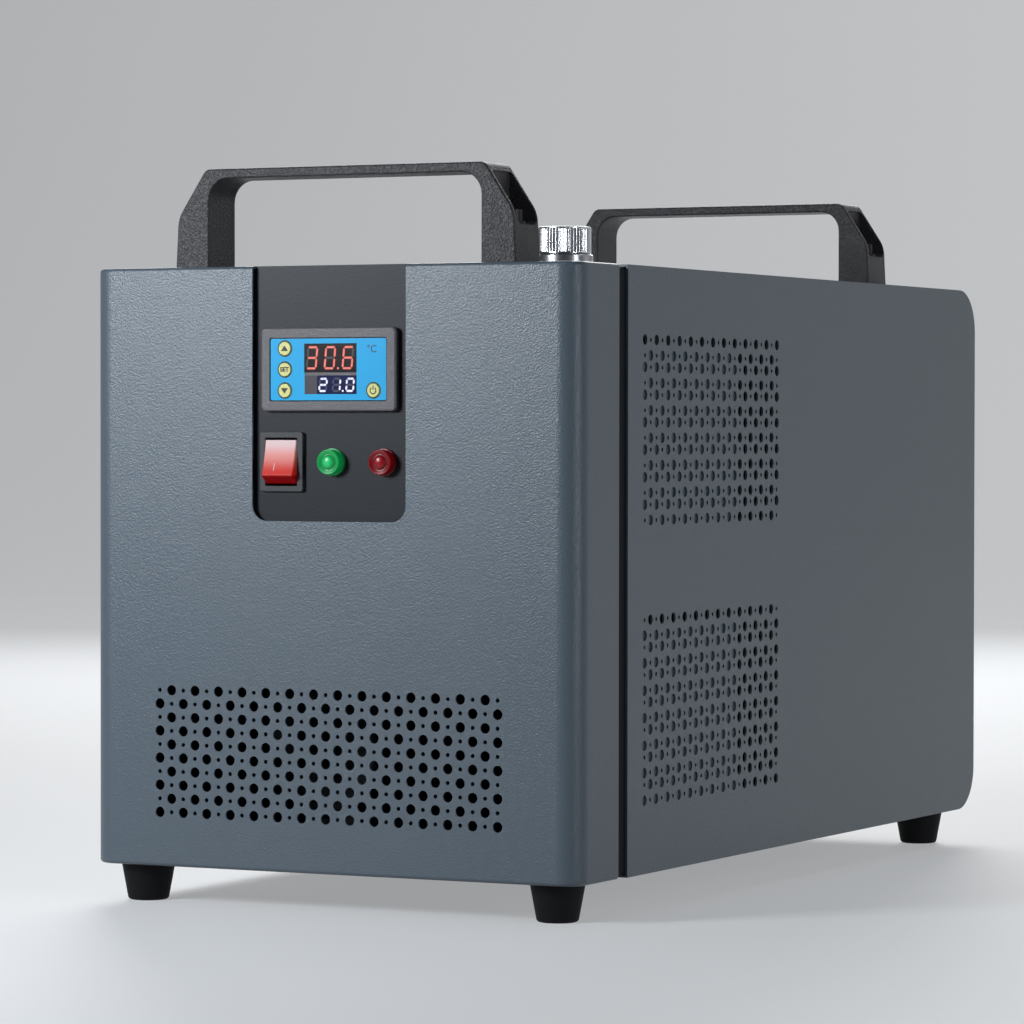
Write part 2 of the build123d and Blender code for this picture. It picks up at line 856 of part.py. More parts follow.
# Filler neck: a flanged collar on the top cover, with a threaded spout up into the cap
filler_y = front_y + filler_depth
filler_plane = Plane(origin=(0, filler_y, top_z), x_dir=(1, 0, 0), z_dir=(0, -1, 0))
filler_axis = Axis((0, filler_y, top_z), (0, 0, 1))
tank_top = top_z - tank_top_gap
cap_base = collar_height + cap_lift
cap_top = cap_base + cap_height
cap_roof = cap_top - cap_wall
neck_top = cap_roof - gasket_gap - gasket_thickness - cap_lift

with BuildPart() as filler_neck:
    with BuildSketch(filler_plane):
        with BuildLine():
            Polyline(
                (neck_bore, -tank_top_gap), (neck_radius, -tank_top_gap), (neck_radius, 0),
                (neck_flange_radius, 0), (neck_flange_radius, neck_flange_height - clear),
                (neck_flange_radius - clear, neck_flange_height), (collar_radius, neck_flange_height),
                (collar_radius, collar_height - clear / 2), (collar_radius - clear / 2, collar_height),
                (neck_radius, collar_height), (neck_radius, neck_top), (neck_bore, neck_top), close=True,
            )
        make_face()
    revolve(axis=filler_axis)
save(filler_neck.part, "filler_neck")

cap_inside = neck_radius + thread_fit
with BuildPart() as filler_cap:
    with BuildSketch(filler_plane):
        with BuildLine():
            Polyline(
                (0, cap_roof), (cap_inside, cap_roof), (cap_inside, cap_base), (cap_radius, cap_base),
                (cap_radius, cap_top - cap_crown), (cap_radius - cap_crown, cap_top), (0, cap_top), close=True,
            )
        make_face()
    revolve(axis=filler_axis)
    with BuildSketch(Plane.XY.offset(top_z + cap_base)):
        with Locations((0, filler_y)):
            with PolarLocations(cap_radius + flute_depth / 2, flute_count):
                RegularPolygon(2 * flute_depth, 4)
    extrude(amount=cap_height - 2 * cap_crown, mode=Mode.SUBTRACT)
save(filler_cap.part, "filler_cap")

with BuildPart() as cap_gasket:
    with BuildSketch(Plane.XY.offset(top_z + cap_roof - gasket_gap)):
        with Locations((0, filler_y)):
            Circle(neck_radius - gasket_gap)
            Circle(neck_bore, mode=Mode.SUBTRACT)
    extrude(amount=-gasket_thickness)
save(cap_gasket.part, "cap_gasket")

# Tank: a closed moulding with an opening for the filler, three spigots and two holes for the coil
tank_low = tank_top - tank_height
tank_rear_depth = filler_depth + tank_length / 2
coil_low = tank_low + coil_lift
coil_high = coil_low + coil_turns * coil_pitch
coil_ends = [(tank_offset + coil_radius, coil_low), (tank_offset - coil_radius, coil_high)]
suction_port = (pump_across, filler_y - suction_inset)
drain_port = (tank_offset - drain_inset, filler_y + drain_back)

with BuildPart() as tank:
    with BuildSketch(Plane.XY.offset(tank_low)):
        with Locations((tank_offset, filler_y)):
            RectangleRounded(tank_width, tank_length, tank_radius)
    extrude(amount=tank_height)
    fillet(tank.faces().sort_by(Axis.Z)[-1].edges(), tank_wall)
    with BuildSketch(Plane.XY.offset(tank_low + tank_wall)):
        with Locations((tank_offset, filler_y)):
            RectangleRounded(tank_width - 2 * tank_wall, tank_length - 2 * tank_wall, tank_radius - tank_wall)
    extrude(amount=tank_height - 2 * tank_wall, mode=Mode.SUBTRACT)
    with BuildSketch(Plane.XY.offset(tank_top)):
        with Locations((0, filler_y)):
            Circle(neck_bore)
    extrude(amount=-tank_wall, mode=Mode.SUBTRACT)
    with BuildSketch(Plane.XY.offset(tank_low)):
        with Locations(suction_port, drain_port):
            Circle(hose_bore)
    extrude(amount=-spigot_length)
    with BuildSketch(Plane.XY.offset(tank_low - spigot_length)):
        with Locations(suction_port, drain_port):
            Circle(spigot_bore)
    extrude(amount=spigot_length + tank_wall, mode=Mode.SUBTRACT)
    with BuildSketch(facing(tank_rear_depth)):
        with Locations((barb_across, barb_z)):
            Circle(hose_bore)
    extrude(amount=-spigot_length)
    with BuildSketch(facing(tank_rear_depth + spigot_length)):
        with Locations((barb_across, barb_z)):
            Circle(spigot_bore)
    extrude(amount=spigot_length + tank_wall, mode=Mode.SUBTRACT)
    with BuildSketch(facing(tank_rear_depth)):
        with Locations(coil_ends):
            Circle(sleeve_radius + fit_gap)
    extrude(amount=tank_wall, mode=Mode.SUBTRACT)
save(tank.part, "tank")

# Tank shelf: a plate across the casing, whose wings turn down against the side panels
shelf_z = tank_low - shelf_thickness
with BuildPart() as tank_shelf:
    with BuildSketch(Plane.XY.offset(shelf_z)):
        with Locations((0, front_y + (shelf_start + shelf_end) / 2)):
            Rectangle(inner_width - 2 * shelf_inset, shelf_end - shelf_start)
        with Locations((0, front_y + (shelf_wing_start + shelf_end) / 2)):
            Rectangle(inner_width, shelf_end - shelf_wing_start)
        with Locations(drain_port):
            Circle(hose_radius + fit_gap, mode=Mode.SUBTRACT)
    extrude(amount=shelf_thickness)
    wing_x = (inner_width - shelf_thickness) / 2
    with BuildSketch(Plane.XY.offset(shelf_z)):
        with Locations([(x, front_y + (shelf_wing_start + shelf_end) / 2) for x in (-wing_x, wing_x)]):
            Rectangle(shelf_thickness, shelf_end - shelf_wing_start)
    extrude(amount=-flange_height)
save(tank_shelf.part, "tank_shelf")

# Evaporator: a copper tube wound inside the tank, with both ends out through its rear wall
with BuildPart() as evaporator_coil:
    with BuildLine() as turns:
        Helix(
            pitch=coil_pitch, height=coil_turns * coil_pitch, radius=coil_radius,
            center=(tank_offset, filler_y, coil_low), lefthand=True,
        )
    with BuildSketch(Plane(origin=turns.line @ 0, x_dir=(1, 0, 0), z_dir=turns.line % 0)):
        Circle(line_radius)
    sweep()
    with BuildSketch(facing(filler_depth)):
        with Locations(coil_ends):
            Circle(sleeve_radius)
    extrude(amount=-coil_lead)
save(evaporator_coil.part, "evaporator_coil")

# Pump: a volute on a pedestal, with a spigot at its eye and another up from its rim
pump_z = bottom_z + pump_height
pump_back = pump_depth + pump_length
pump_middle = pump_depth + pump_length / 2
delivery_x = pump_across + impeller_radius
vane_front = pump_depth + pump_wall + impeller_gap
disc_back = pump_back - pump_wall - impeller_gap
disc_front = disc_back - impeller_disc

with BuildPart() as pump_housing:
    with BuildSketch(facing(pump_depth)):
        with Locations((pump_across, pump_z)):
            Circle(pump_radius)
    extrude(amount=-pump_length)
    fillet(pump_housing.faces().sort_by(Axis.Y)[0].edges(), pump_wall)
    with BuildSketch(facing(pump_depth + pump_wall)):
        with BuildLine():
            Polyline(
                (pump_across - pump_foot_width / 2, bottom_z + sheet),
                (pump_across + pump_foot_width / 2, bottom_z + sheet),
                (pump_across + pump_foot_width / 3, pump_z - pump_radius / 2),
                (pump_across - pump_foot_width / 3, pump_z - pump_radius / 2), close=True,
            )
        make_face()
    extrude(amount=-(pump_length - 2 * pump_wall))
    with BuildSketch(Plane.XY.offset(bottom_z + sheet)):
        with Locations((pump_across, front_y + pump_depth + pump_foot_length / 2)):
            RectangleRounded(pump_foot_width, pump_foot_length, pump_wall)
    extrude(amount=pump_wall)
    with BuildSketch(facing(pump_depth)):
        with Locations((pump_across, pump_z)):
            Circle(hose_bore)
    extrude(amount=spigot_length)
    with BuildSketch(Plane.XY.offset(pump_z)):
        with Locations((delivery_x, front_y + pump_middle)):
            Circle(hose_bore)
    extrude(amount=pump_radius + spigot_length)
    with BuildSketch(facing(pump_depth + pump_wall)):
        with Locations((pump_across, pump_z)):
            Circle(impeller_radius + impeller_gap)
    extrude(amount=-(pump_length - 2 * pump_wall), mode=Mode.SUBTRACT)
    with BuildSketch(facing(pump_depth + pump_wall)):
        with Locations((pump_across, pump_z)):
            Circle(spigot_bore)
    extrude(amount=spigot_length + pump_wall, mode=Mode.SUBTRACT)
    with BuildSketch(Plane.XY.offset(pump_z)):
        with Locations((delivery_x, front_y + pump_middle)):
            Circle(spigot_bore)
    extrude(amount=pump_radius + spigot_length, mode=Mode.SUBTRACT)
    with BuildSketch(facing(pump_back)):
        with Locations((pump_across, pump_z)):
            Circle(pump_shaft_radius + pump_shaft_fit)
    extrude(amount=pump_wall, mode=Mode.SUBTRACT)
save(pump_housing.part, "pump_housing")

with BuildPart() as pump_impeller:
    with BuildSketch(facing(disc_back)):
        with Locations((pump_across, pump_z)):
            Circle(impeller_radius)
    extrude(amount=impeller_disc)
    with BuildSketch(facing(disc_front)):
        with Locations((pump_across, pump_z)):
            with PolarLocations(0.6 * impeller_radius, impeller_vanes):
                SlotOverall(0.7 * impeller_radius, vane_thickness, rotation=25)
    extrude(amount=disc_front - vane_front)
    with BuildSketch(facing(disc_back)):
        with Locations((pump_across, pump_z)):
            Circle(pump_shaft_radius)
    extrude(amount=-pump_shaft_length)
save(pump_impeller.part, "pump_impeller")

with BuildPart() as pump_motor:
    with BuildSketch(facing(pump_back)):
        with Locations((pump_across, pump_z)):
            Circle(motor_radius)
            with PolarLocations(motor_radius, motor_rib_count):
                Rectangle(2 * motor_rib_depth, 2 * motor_rib_depth, mode=Mode.SUBTRACT)
    extrude(amount=-motor_length)
    with BuildSketch(facing(pump_back + motor_length)):
        with Locations((pump_across, pump_z)):
            Circle(motor_radius)
    extrude(amount=-motor_cap)
    fillet(pump_motor.faces().sort_by(Axis.Y)[-1].edges(), motor_cap / 2)
    with BuildSketch(facing(pump_back)):
        with Locations((pump_across, pump_z)):
            Circle(pump_shaft_radius + pump_shaft_fit)
    extrude(amount=-pump_shaft_length, mode=Mode.SUBTRACT)
save(pump_motor.part, "pump_motor")


def at(x, depth, z):
    """A point by its place across, its depth and its height."""
    return (x, front_y + depth, z)


# Hoses: each keeps to its route between two spigots
hose_end = case_depth - sheet - nut_height
suction_depth = filler_depth - suction_inset
drain_depth = filler_depth + drain_back
hoses = {
    "suction_hose": [
        at(pump_across, suction_depth, tank_low), at(pump_across, suction_depth, suction_level),
        at(pump_across, hose_front, suction_level), at(pump_across, hose_front, pump_z),
        at(pump_across, pump_depth, pump_z),
    ],
    "delivery_hose": [
        at(delivery_x, pump_middle, pump_z + pump_radius), at(delivery_x, pump_middle, hose_level),
        at(outlet_across, pump_middle, hose_level), at(outlet_across, hose_turn, hose_level),
        at(outlet_across, hose_turn, barb_z), at(outlet_across, hose_end, barb_z),
    ],
    "drain_hose": [
        at(drain_port[0], drain_depth, tank_low), at(drain_port[0], drain_depth, drain_level),
        at(drain_port[0], drain_turn, drain_level), at(drain_across, drain_turn, drain_level),
        at(drain_across, drain_rise, drain_level), at(drain_across, drain_rise, drain_z),
        at(drain_across, hose_end, drain_z),
    ],
}
for name, points in hoses.items():
    with BuildPart() as hose:
        with BuildLine() as route:
            FilletPolyline(*points, radius=hose_bend)
        with BuildSketch(Plane(origin=route.line @ 0, z_dir=route.line % 0)):
            Circle(hose_radius)
            Circle(hose_bore, mode=Mode.SUBTRACT)
        sweep()
    save(hose.part, name)

with BuildPart() as return_hose:
    with BuildSketch(facing(tank_rear_depth)):
        with Locations((barb_across, barb_z)):
            Circle(hose_radius)
            Circle(hose_bore, mode=Mode.SUBTRACT)
    extrude(amount=-(hose_end - tank_rear_depth))
save(return_hose.part, "return_hose")


def port_plane(x, z):
    """The plane through a port's axis: outward from the rear panel, and up."""
    return Plane(origin=(x, rear_y, z), x_dir=(0, 1, 0), z_dir=(1, 0, 0))


def port_inside(bore):
    """Outline of a fitting's inner end: a spigot for the hose, then a shank through the panel."""
    nut_end = -sheet - nut_height
    return [
        (nut_end - spigot_length, bore), (nut_end - spigot_length, hose_bore), (nut_end, hose_bore),
        (nut_end, port_hole_radius - fit_gap), (0, port_hole_radius - fit_gap),
    ]


# Hose barbs: turned fittings with saw-tooth rings outside and a nut on either side of the panel
barb_start = nut_height + barb_step
barb_run = (barb_length - barb_start) / barb_count
teeth = [(0, hose_bore)]
for tooth in range(barb_count):
    start = barb_start + tooth * barb_run
    teeth += [(start, hose_bore), (start, hose_bore + barb_step), (start + barb_run - barb_step, hose_bore)]
teeth += [(barb_length, hose_bore), (barb_length, spigot_bore)]

with BuildPart() as hose_barbs:
    for x in (barb_across, outlet_across):
        with BuildSketch(port_plane(x, barb_z)):
            with BuildLine():
                Polyline(*port_inside(spigot_bore), *teeth, close=True)
            make_face()
        revolve(axis=Axis((x, rear_y, barb_z), (0, 1, 0)))
    for depth in (case_depth, hose_end):
        with BuildSketch(facing(depth)):
            with Locations((barb_across, barb_z), (outlet_across, barb_z)):
                RegularPolygon(nut_radius, 6)
                Circle(hose_bore, mode=Mode.SUBTRACT)
        extrude(amount=-nut_height)
save(hose_barbs.part, "hose_barbs")

# Drain: a fitting like the barbs' with a plug screwed into it
with BuildPart() as drain_fitting:
    with BuildSketch(port_plane(drain_across, drain_z)):
        with BuildLine():
            Polyline(
                *port_inside(spigot_bore), (nut_height, port_hole_radius - fit_gap), (nut_height, plug_thread),
                (nut_height - plug_length, plug_thread), (nut_height - plug_length, spigot_bore), close=True,
            )
        make_face()
    revolve(axis=Axis((drain_across, rear_y, drain_z), (0, 1, 0)))
    for depth in (case_depth, hose_end):
        with BuildSketch(facing(depth)):
            with Locations((drain_across, drain_z)):
                RegularPolygon(nut_radius, 6)
                Circle(hose_bore, mode=Mode.SUBTRACT)
        extrude(amount=-nut_height)
save(drain_fitting.part, "drain_fitting")

with BuildPart() as drain_plug:
    with BuildSketch(facing(case_depth + nut_height)):
        with Locations((drain_across, drain_z)):
            RegularPolygon(plug_radius, 6)
    extrude(amount=-nut_height)
    chamfer(drain_plug.faces().sort_by(Axis.Y)[-1].edges(), barb_step)
    with BuildSketch(facing(case_depth + nut_height)):
        with Locations((drain_across, drain_z)):
            Circle(plug_thread)
    extrude(amount=plug_length - clear)
save(drain_plug.part, "drain_plug")

# Compressor: a welded steel can on a three-lobed plate, with its terminal box
mount_z = bottom_z + sheet
plate_z = mount_z + grommet_height
with BuildPart() as compressor:
    with BuildSketch(Plane.XY.offset(plate_z)):
        with Locations(grommets):
            Circle(grommet_radius + m4_radius)
        make_hull()
        with Locations(grommets):
            Circle(m4_radius + fit_gap, mode=Mode.SUBTRACT)
    extrude(amount=compressor_plate)
    with BuildSketch(Plane.XY.offset(plate_z + compressor_plate)):
        with Locations((compressor_across, compressor_y)):
            Circle(compressor_radius)
    extrude(amount=compressor_height)
    fillet(compressor.faces().sort_by(Axis.Z)[-1].edges(), compressor_dome)
    with BuildSketch(Plane.XY.offset(plate_z + compressor_height / 2)):
        with Locations((compressor_across, compressor_y)):
            Circle(compressor_radius + compressor_seam)
    extrude(amount=2 * compressor_seam)
    with BuildSketch(Plane.XY.offset(plate_z + compressor_dome)):
        with Locations((compressor_across, compressor_y - compressor_radius)):
            RectangleRounded(terminal_width, terminal_width / 2, compressor_seam)
    extrude(amount=terminal_width)
save(compressor.part, "compressor")

with BuildPart() as compressor_mounts:
    with BuildSketch(Plane.XY.offset(mount_z)):
        with Locations(grommets):
            Circle(grommet_radius)
    extrude(amount=grommet_height)
    with BuildSketch(Plane.XY.offset(mount_z - m4_head_height)):
        with Locations(grommets):
            Circle(m4_radius)
    extrude(amount=m4_head_height + grommet_height + compressor_plate + m4_head_height)
save(compressor_mounts.part, "compressor_mounts")

# Condenser: a grooved fin block at the front of a sheet duct that ends at the fan
fan_front = case_depth - sheet - fan_depth
duct_length = fan_front - condenser_front
fin_count = int(condenser_width / fin_pitch)
duct_low = fan_z - condenser_height / 2 - duct_wall

with BuildPart() as condenser:
    with BuildSketch(facing(condenser_front)):
        with Locations((air_across, fan_z)):
            Rectangle(condenser_width, condenser_height)
    extrude(amount=-condenser_thickness)
    for depth in (condenser_front, condenser_front + condenser_thickness - fin_cut):
        with BuildSketch(facing(depth)):
            with Locations((air_across, fan_z)):
                with GridLocations(fin_pitch, 0, fin_count, 1):
                    Rectangle(fin_groove, condenser_height)
        extrude(amount=-fin_cut, mode=Mode.SUBTRACT)
    with BuildSketch(facing(condenser_front)):
        with Locations((air_across, fan_z)):
            Rectangle(condenser_width + 2 * duct_wall, condenser_height + 2 * duct_wall)
            Rectangle(condenser_width, condenser_height, mode=Mode.SUBTRACT)
    extrude(amount=-duct_length)
    with BuildSketch(facing(condenser_front)):
        leg_x = (condenser_width + duct_wall) / 2
        with Locations([(air_across + x, (mount_z + duct_low) / 2) for x in (-leg_x, leg_x)]):
            Rectangle(duct_wall, duct_low - mount_z)
    extrude(amount=-condenser_thickness)
    for row in range(bend_count):
        bend_z = duct_low + (row + 0.5) * condenser_height / bend_count
        origin = at(air_across - condenser_width / 2 - duct_wall, condenser_front + condenser_thickness / 2, bend_z)
        with BuildSketch(Plane(origin=origin, x_dir=(0, 1, 0), z_dir=(-1, 0, 0))):
            with Locations((0, bend_radius)):
                Circle(line_radius)
        revolve(axis=Axis(origin, (0, 1, 0)), revolution_arc=180)
save(condenser.part, "condenser")

# Refrigerant circuit: copper lines between the compressor, condenser, drier and evaporator
discharge_z = top_z - discharge_drop
discharge_x = compressor_across - compressor_radius
suction_x = coil_ends[0][0]
suction_reach = (compressor_radius ** 2 - (suction_x - compressor_across) ** 2) ** 0.5 + line_radius / 2
drier_top = drier_low + drier_length
lines = {
    "discharge_line": (line_radius, line_bend, [
        at(discharge_x, compressor_depth, discharge_level), at(discharge_across, compressor_depth, discharge_level),
        at(discharge_across, discharge_turn, discharge_level), at(discharge_across, discharge_turn, discharge_z),
        at(discharge_across, condenser_front, discharge_z),
    ]),
    "suction_line": (line_radius, line_bend, [
        at(suction_x, filler_depth + coil_lead, coil_low), at(suction_x, suction_turn, coil_low),
        at(suction_x, suction_turn, suction_stub), at(suction_x, compressor_depth + suction_reach, suction_stub),
    ]),
    "capillary": (capillary_radius, capillary_bend, [
        at(drier_across, drier_depth, drier_top), at(drier_across, drier_depth, coil_high),
        at(coil_ends[1][0], drier_depth, coil_high), at(coil_ends[1][0], filler_depth + coil_lead, coil_high),
    ]),
}
for name, (radius, bend, points) in lines.items():
    with BuildPart() as line:
        with BuildLine() as route:
            FilletPolyline(*points, radius=bend)
        with BuildSketch(Plane(origin=route.line @ 0, z_dir=route.line % 0)):
            Circle(radius)
        sweep()
    save(line.part, name)

with BuildPart() as filter_drier:
    with BuildLine() as route:
        FilletPolyline(
            at(drier_across, condenser_front, liquid_level), at(drier_across, drier_depth, liquid_level),
            at(drier_across, drier_depth, drier_low), radius=line_bend,
        )
    with BuildSketch(Plane(origin=route.line @ 0, z_dir=route.line % 0)):
        Circle(line_radius)
    sweep()
    with BuildSketch(Plane.XY.offset(drier_low)):
        with Locations((drier_across, front_y + drier_depth)):
            Circle(drier_radius)
    extrude(amount=drier_length)
    rims = filter_drier.edges().filter_by(GeomType.CIRCLE).filter_by(lambda e: abs(e.radius - drier_radius) < clear)
    chamfer(rims, drier_radius / 2)
save(filter_drier.part, "filter_drier")

# Fan: a square frame with a plate over the duct, whose struts hold the motor
fan_centre = (air_across, fan_z)
strut_front = case_depth - sheet - fan_strut_depth
rotor_front = fan_front + fan_gap
rotor_back = strut_front - fan_gap
boss_front = rotor_front + fan_hub_wall + fan_gap

with BuildPart() as fan_frame:
    with BuildSketch(facing(fan_front)):
        with Locations(fan_centre):
            RectangleRounded(fan_size, fan_size, fan_strut)
    extrude(amount=-fan_depth)
    with BuildSketch(facing(fan_front)):
        with Locations(fan_centre):
            Rectangle(condenser_width + 2 * duct_wall, condenser_height + 2 * duct_wall)
    extrude(amount=-duct_wall)
    with BuildSketch(facing(fan_front)):
        with Locations(fan_centre):
            Circle(fan_bore)
            with GridLocations(fan_screw_pitch, fan_screw_pitch, 2, 2):
                Circle(m4_radius + fit_gap)
    extrude(amount=-fan_depth, mode=Mode.SUBTRACT)
    with BuildSketch(facing(strut_front)):
        with Locations(fan_centre):
            Rectangle(2 * fan_bore + fan_strut_depth, fan_strut)
            Rectangle(fan_strut, 2 * fan_bore + fan_strut_depth)
            Circle(fan_hub_radius)
    extrude(amount=-fan_strut_depth)
    with BuildSketch(facing(boss_front)):
        with Locations(fan_centre):
            Circle(fan_motor_radius)
    extrude(amount=boss_front - strut_front)
    with BuildSketch(facing(boss_front)):
        with Locations(fan_centre):
            Circle(fan_shaft_radius + fan_shaft_fit)
    extrude(amount=boss_front - strut_front, mode=Mode.SUBTRACT)
save(fan_frame.part, "fan_frame")

with BuildPart() as fan_rotor:
    for blade in range(fan_blades):
        angle = radians(360 / fan_blades * blade)
        outward = Vector(cos(angle), 0, sin(angle))
        around = Vector(-sin(angle), 0, cos(angle))
        middle = Vector(air_across, front_y + (rotor_front + rotor_back) / 2, fan_z)
        for reach, chord, pitch in (
            (fan_hub_radius - clear, blade_root_chord, blade_root_pitch),
            (fan_bore, blade_tip_chord, blade_tip_pitch),
        ):
            run = around * cos(radians(pitch)) + Vector(0, sin(radians(pitch)), 0)
            with BuildSketch(Plane(origin=middle + outward * reach, x_dir=run, z_dir=outward)):
                Rectangle(chord, blade_thickness)
        loft()
    with BuildSketch(facing(rotor_front)):
        with Locations(fan_centre):
            Circle(fan_bore - fan_tip_gap)
    extrude(amount=rotor_front - rotor_back, mode=Mode.INTERSECT)
    with BuildSketch(facing(rotor_front)):
        with Locations(fan_centre):
            Circle(fan_hub_radius)
    extrude(amount=rotor_front - rotor_back)
    fillet(fan_rotor.edges().filter_by(GeomType.CIRCLE).sort_by(Axis.Y)[0], fan_hub_wall)
    with BuildSketch(facing(rotor_front + fan_hub_wall)):
        with Locations(fan_centre):
            Circle(fan_hub_radius - fan_hub_wall)
    extrude(amount=rotor_front - rotor_back, mode=Mode.SUBTRACT)
    with BuildSketch(facing(rotor_front + fan_hub_wall)):
        with Locations(fan_centre):
            Circle(fan_shaft_radius)
    extrude(amount=rotor_front + fan_hub_wall - rotor_back)
save(fan_rotor.part, "fan_rotor")

# Fan guard: flat rings on two crossed bars, with a lug at each screw
with BuildPart() as fan_guard:
    with BuildSketch(facing(case_depth + guard_standoff)):
        with Locations(fan_centre):
            for ring in range(guard_rings):
                radius = (ring + 1) * guard_ring_pitch
                with BuildSketch(mode=Mode.PRIVATE) as hoop:
                    Circle(radius + guard_ring_width / 2)
                    Circle(radius - guard_ring_width / 2, mode=Mode.SUBTRACT)
                add(hoop.sketch)
            for turn in (45, 135):
                Rectangle(fan_screw_pitch * 2 ** 0.5, guard_bar, rotation=turn)
            with GridLocations(fan_screw_pitch, fan_screw_pitch, 2, 2):
                Circle(guard_lug)
                Circle(m4_radius + fit_gap, mode=Mode.SUBTRACT)
    extrude(amount=-guard_thickness)
    with BuildSketch(facing(case_depth)):
        with Locations(fan_centre):
            with GridLocations(fan_screw_pitch, fan_screw_pitch, 2, 2):
                Circle(guard_lug)
                Circle(m4_radius + fit_gap, mode=Mode.SUBTRACT)
    extrude(amount=-guard_standoff)
save(fan_guard.part, "fan_guard")

# Power inlet: a flanged socket with three blades
with BuildPart() as power_inlet:
    with BuildSketch(facing(case_depth)):
        with Locations((inlet_across, inlet_z)):
            RectangleRounded(inlet_flange_width, inlet_flange_height, socket_chamfer)
            with GridLocations(inlet_screw_pitch, 0, 2, 1):
                Circle(m4_radius + fit_gap, mode=Mode.SUBTRACT)
    extrude(amount=-inlet_flange_thickness)
    with BuildSketch(facing(case_depth)):
        with Locations((inlet_across, inlet_z)):
            Rectangle(inlet_width, inlet_height)
    extrude(amount=inlet_length)
    with BuildSketch(facing(case_depth + inlet_flange_thickness)):
        with Locations((inlet_across, inlet_z)):
            socket = Rectangle(socket_width, socket_height)
        chamfer(socket.vertices().group_by(Axis.Y)[-1], socket_chamfer)
    extrude(amount=socket_depth, mode=Mode.SUBTRACT)
    with BuildSketch(facing(case_depth + inlet_flange_thickness - socket_depth)):
        with Locations((inlet_across, inlet_z)):
            with Locations((0, pin_width / 2), (-pin_spread, -pin_width / 2), (pin_spread, -pin_width / 2)):
                Rectangle(pin_thickness, pin_width)
    extrude(amount=-pin_length)
save(power_inlet.part, "power_inlet")

# Casing screws: pan heads under the feet, and on the fan guard and the inlet's flange
fan_screws = [
    (air_across + x, fan_z + z)
    for x in (-fan_screw_pitch / 2, fan_screw_pitch / 2)
    for z in (-fan_screw_pitch / 2, fan_screw_pitch / 2)
]
inlet_screws = [(inlet_across + x, inlet_z) for x in (-inlet_screw_pitch / 2, inlet_screw_pitch / 2)]
guard_face = case_depth + guard_standoff + guard_thickness

with BuildPart() as casing_screws:
    with BuildSketch(Plane.XY.offset(foot_height - foot_seat - m4_head_height)):
        with Locations(list(feet.values())):
            Circle(m4_head_radius)
    extrude(amount=m4_head_height)
    with BuildSketch(Plane.XY.offset(foot_height - foot_seat)):
        with Locations(list(feet.values())):
            Circle(m4_radius)
    extrude(amount=foot_seat + screw_tail)
    for places, face, shank in (
        (fan_screws, guard_face, guard_face - fan_front),
        (inlet_screws, case_depth + inlet_flange_thickness, inlet_flange_thickness + screw_tail),
    ):
        with BuildSketch(facing(face)):
            with Locations(places):
                Circle(m4_head_radius)
        extrude(amount=-m4_head_height)
        with BuildSketch(facing(face)):
            with Locations(places):
                Circle(m4_radius)
        extrude(amount=shank)
save(casing_screws.part, "casing_screws")
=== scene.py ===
# Recirculating chiller: finishes, perforated sheets, handles, cap, controller, switch and lamps,
# with the photograph's view and light
import json
from math import cos, pi, radians, sin

import bmesh
import bpy
import numpy as np
from mathutils import Matrix, Vector


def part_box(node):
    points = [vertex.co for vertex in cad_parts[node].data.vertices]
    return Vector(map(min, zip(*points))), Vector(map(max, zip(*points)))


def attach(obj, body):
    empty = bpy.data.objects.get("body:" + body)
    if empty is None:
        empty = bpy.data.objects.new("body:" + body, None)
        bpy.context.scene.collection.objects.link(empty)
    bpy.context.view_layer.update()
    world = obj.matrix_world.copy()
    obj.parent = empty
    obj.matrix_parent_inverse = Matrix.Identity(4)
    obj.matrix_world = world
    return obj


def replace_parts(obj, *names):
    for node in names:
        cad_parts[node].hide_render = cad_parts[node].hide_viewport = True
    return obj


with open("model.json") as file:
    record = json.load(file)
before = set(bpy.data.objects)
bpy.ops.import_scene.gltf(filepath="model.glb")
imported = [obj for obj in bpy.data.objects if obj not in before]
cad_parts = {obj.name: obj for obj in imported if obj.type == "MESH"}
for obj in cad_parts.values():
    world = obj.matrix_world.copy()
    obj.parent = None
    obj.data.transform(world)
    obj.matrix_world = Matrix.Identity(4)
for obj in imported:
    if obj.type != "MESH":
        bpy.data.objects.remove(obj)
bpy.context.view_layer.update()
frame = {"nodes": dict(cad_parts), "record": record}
nodes = frame["nodes"]
mm = 0.001
print("frame loaded:", len(nodes), "nodes")


# Shader maths: a Signal is one socket, and arithmetic on it adds Math nodes
class Signal:
    def __init__(self, finish, socket):
        self.finish = finish
        self.socket = socket

    def calc(self, operation, *values):
        return self.finish.add("ShaderNodeMath", {"operation": operation}, dict(enumerate(values)))

    def __add__(self, other):
        return self.calc("ADD", self, other)

    def __sub__(self, other):
        return self.calc("SUBTRACT", self, other)

    def __rsub__(self, other):
        return self.calc("SUBTRACT", other, self)

    def __mul__(self, other):
        return self.calc("MULTIPLY", self, other)

    def __truediv__(self, other):
        return self.calc("DIVIDE", self, other)

    def __pow__(self, other):
        return self.calc("POWER", self, other)

    def __gt__(self, other):
        return self.calc("GREATER_THAN", self, other)

    __radd__ = __add__

    def clamp(self, low=0.0, high=1.0):
        return self.calc("MINIMUM", self.calc("MAXIMUM", self, low), high)


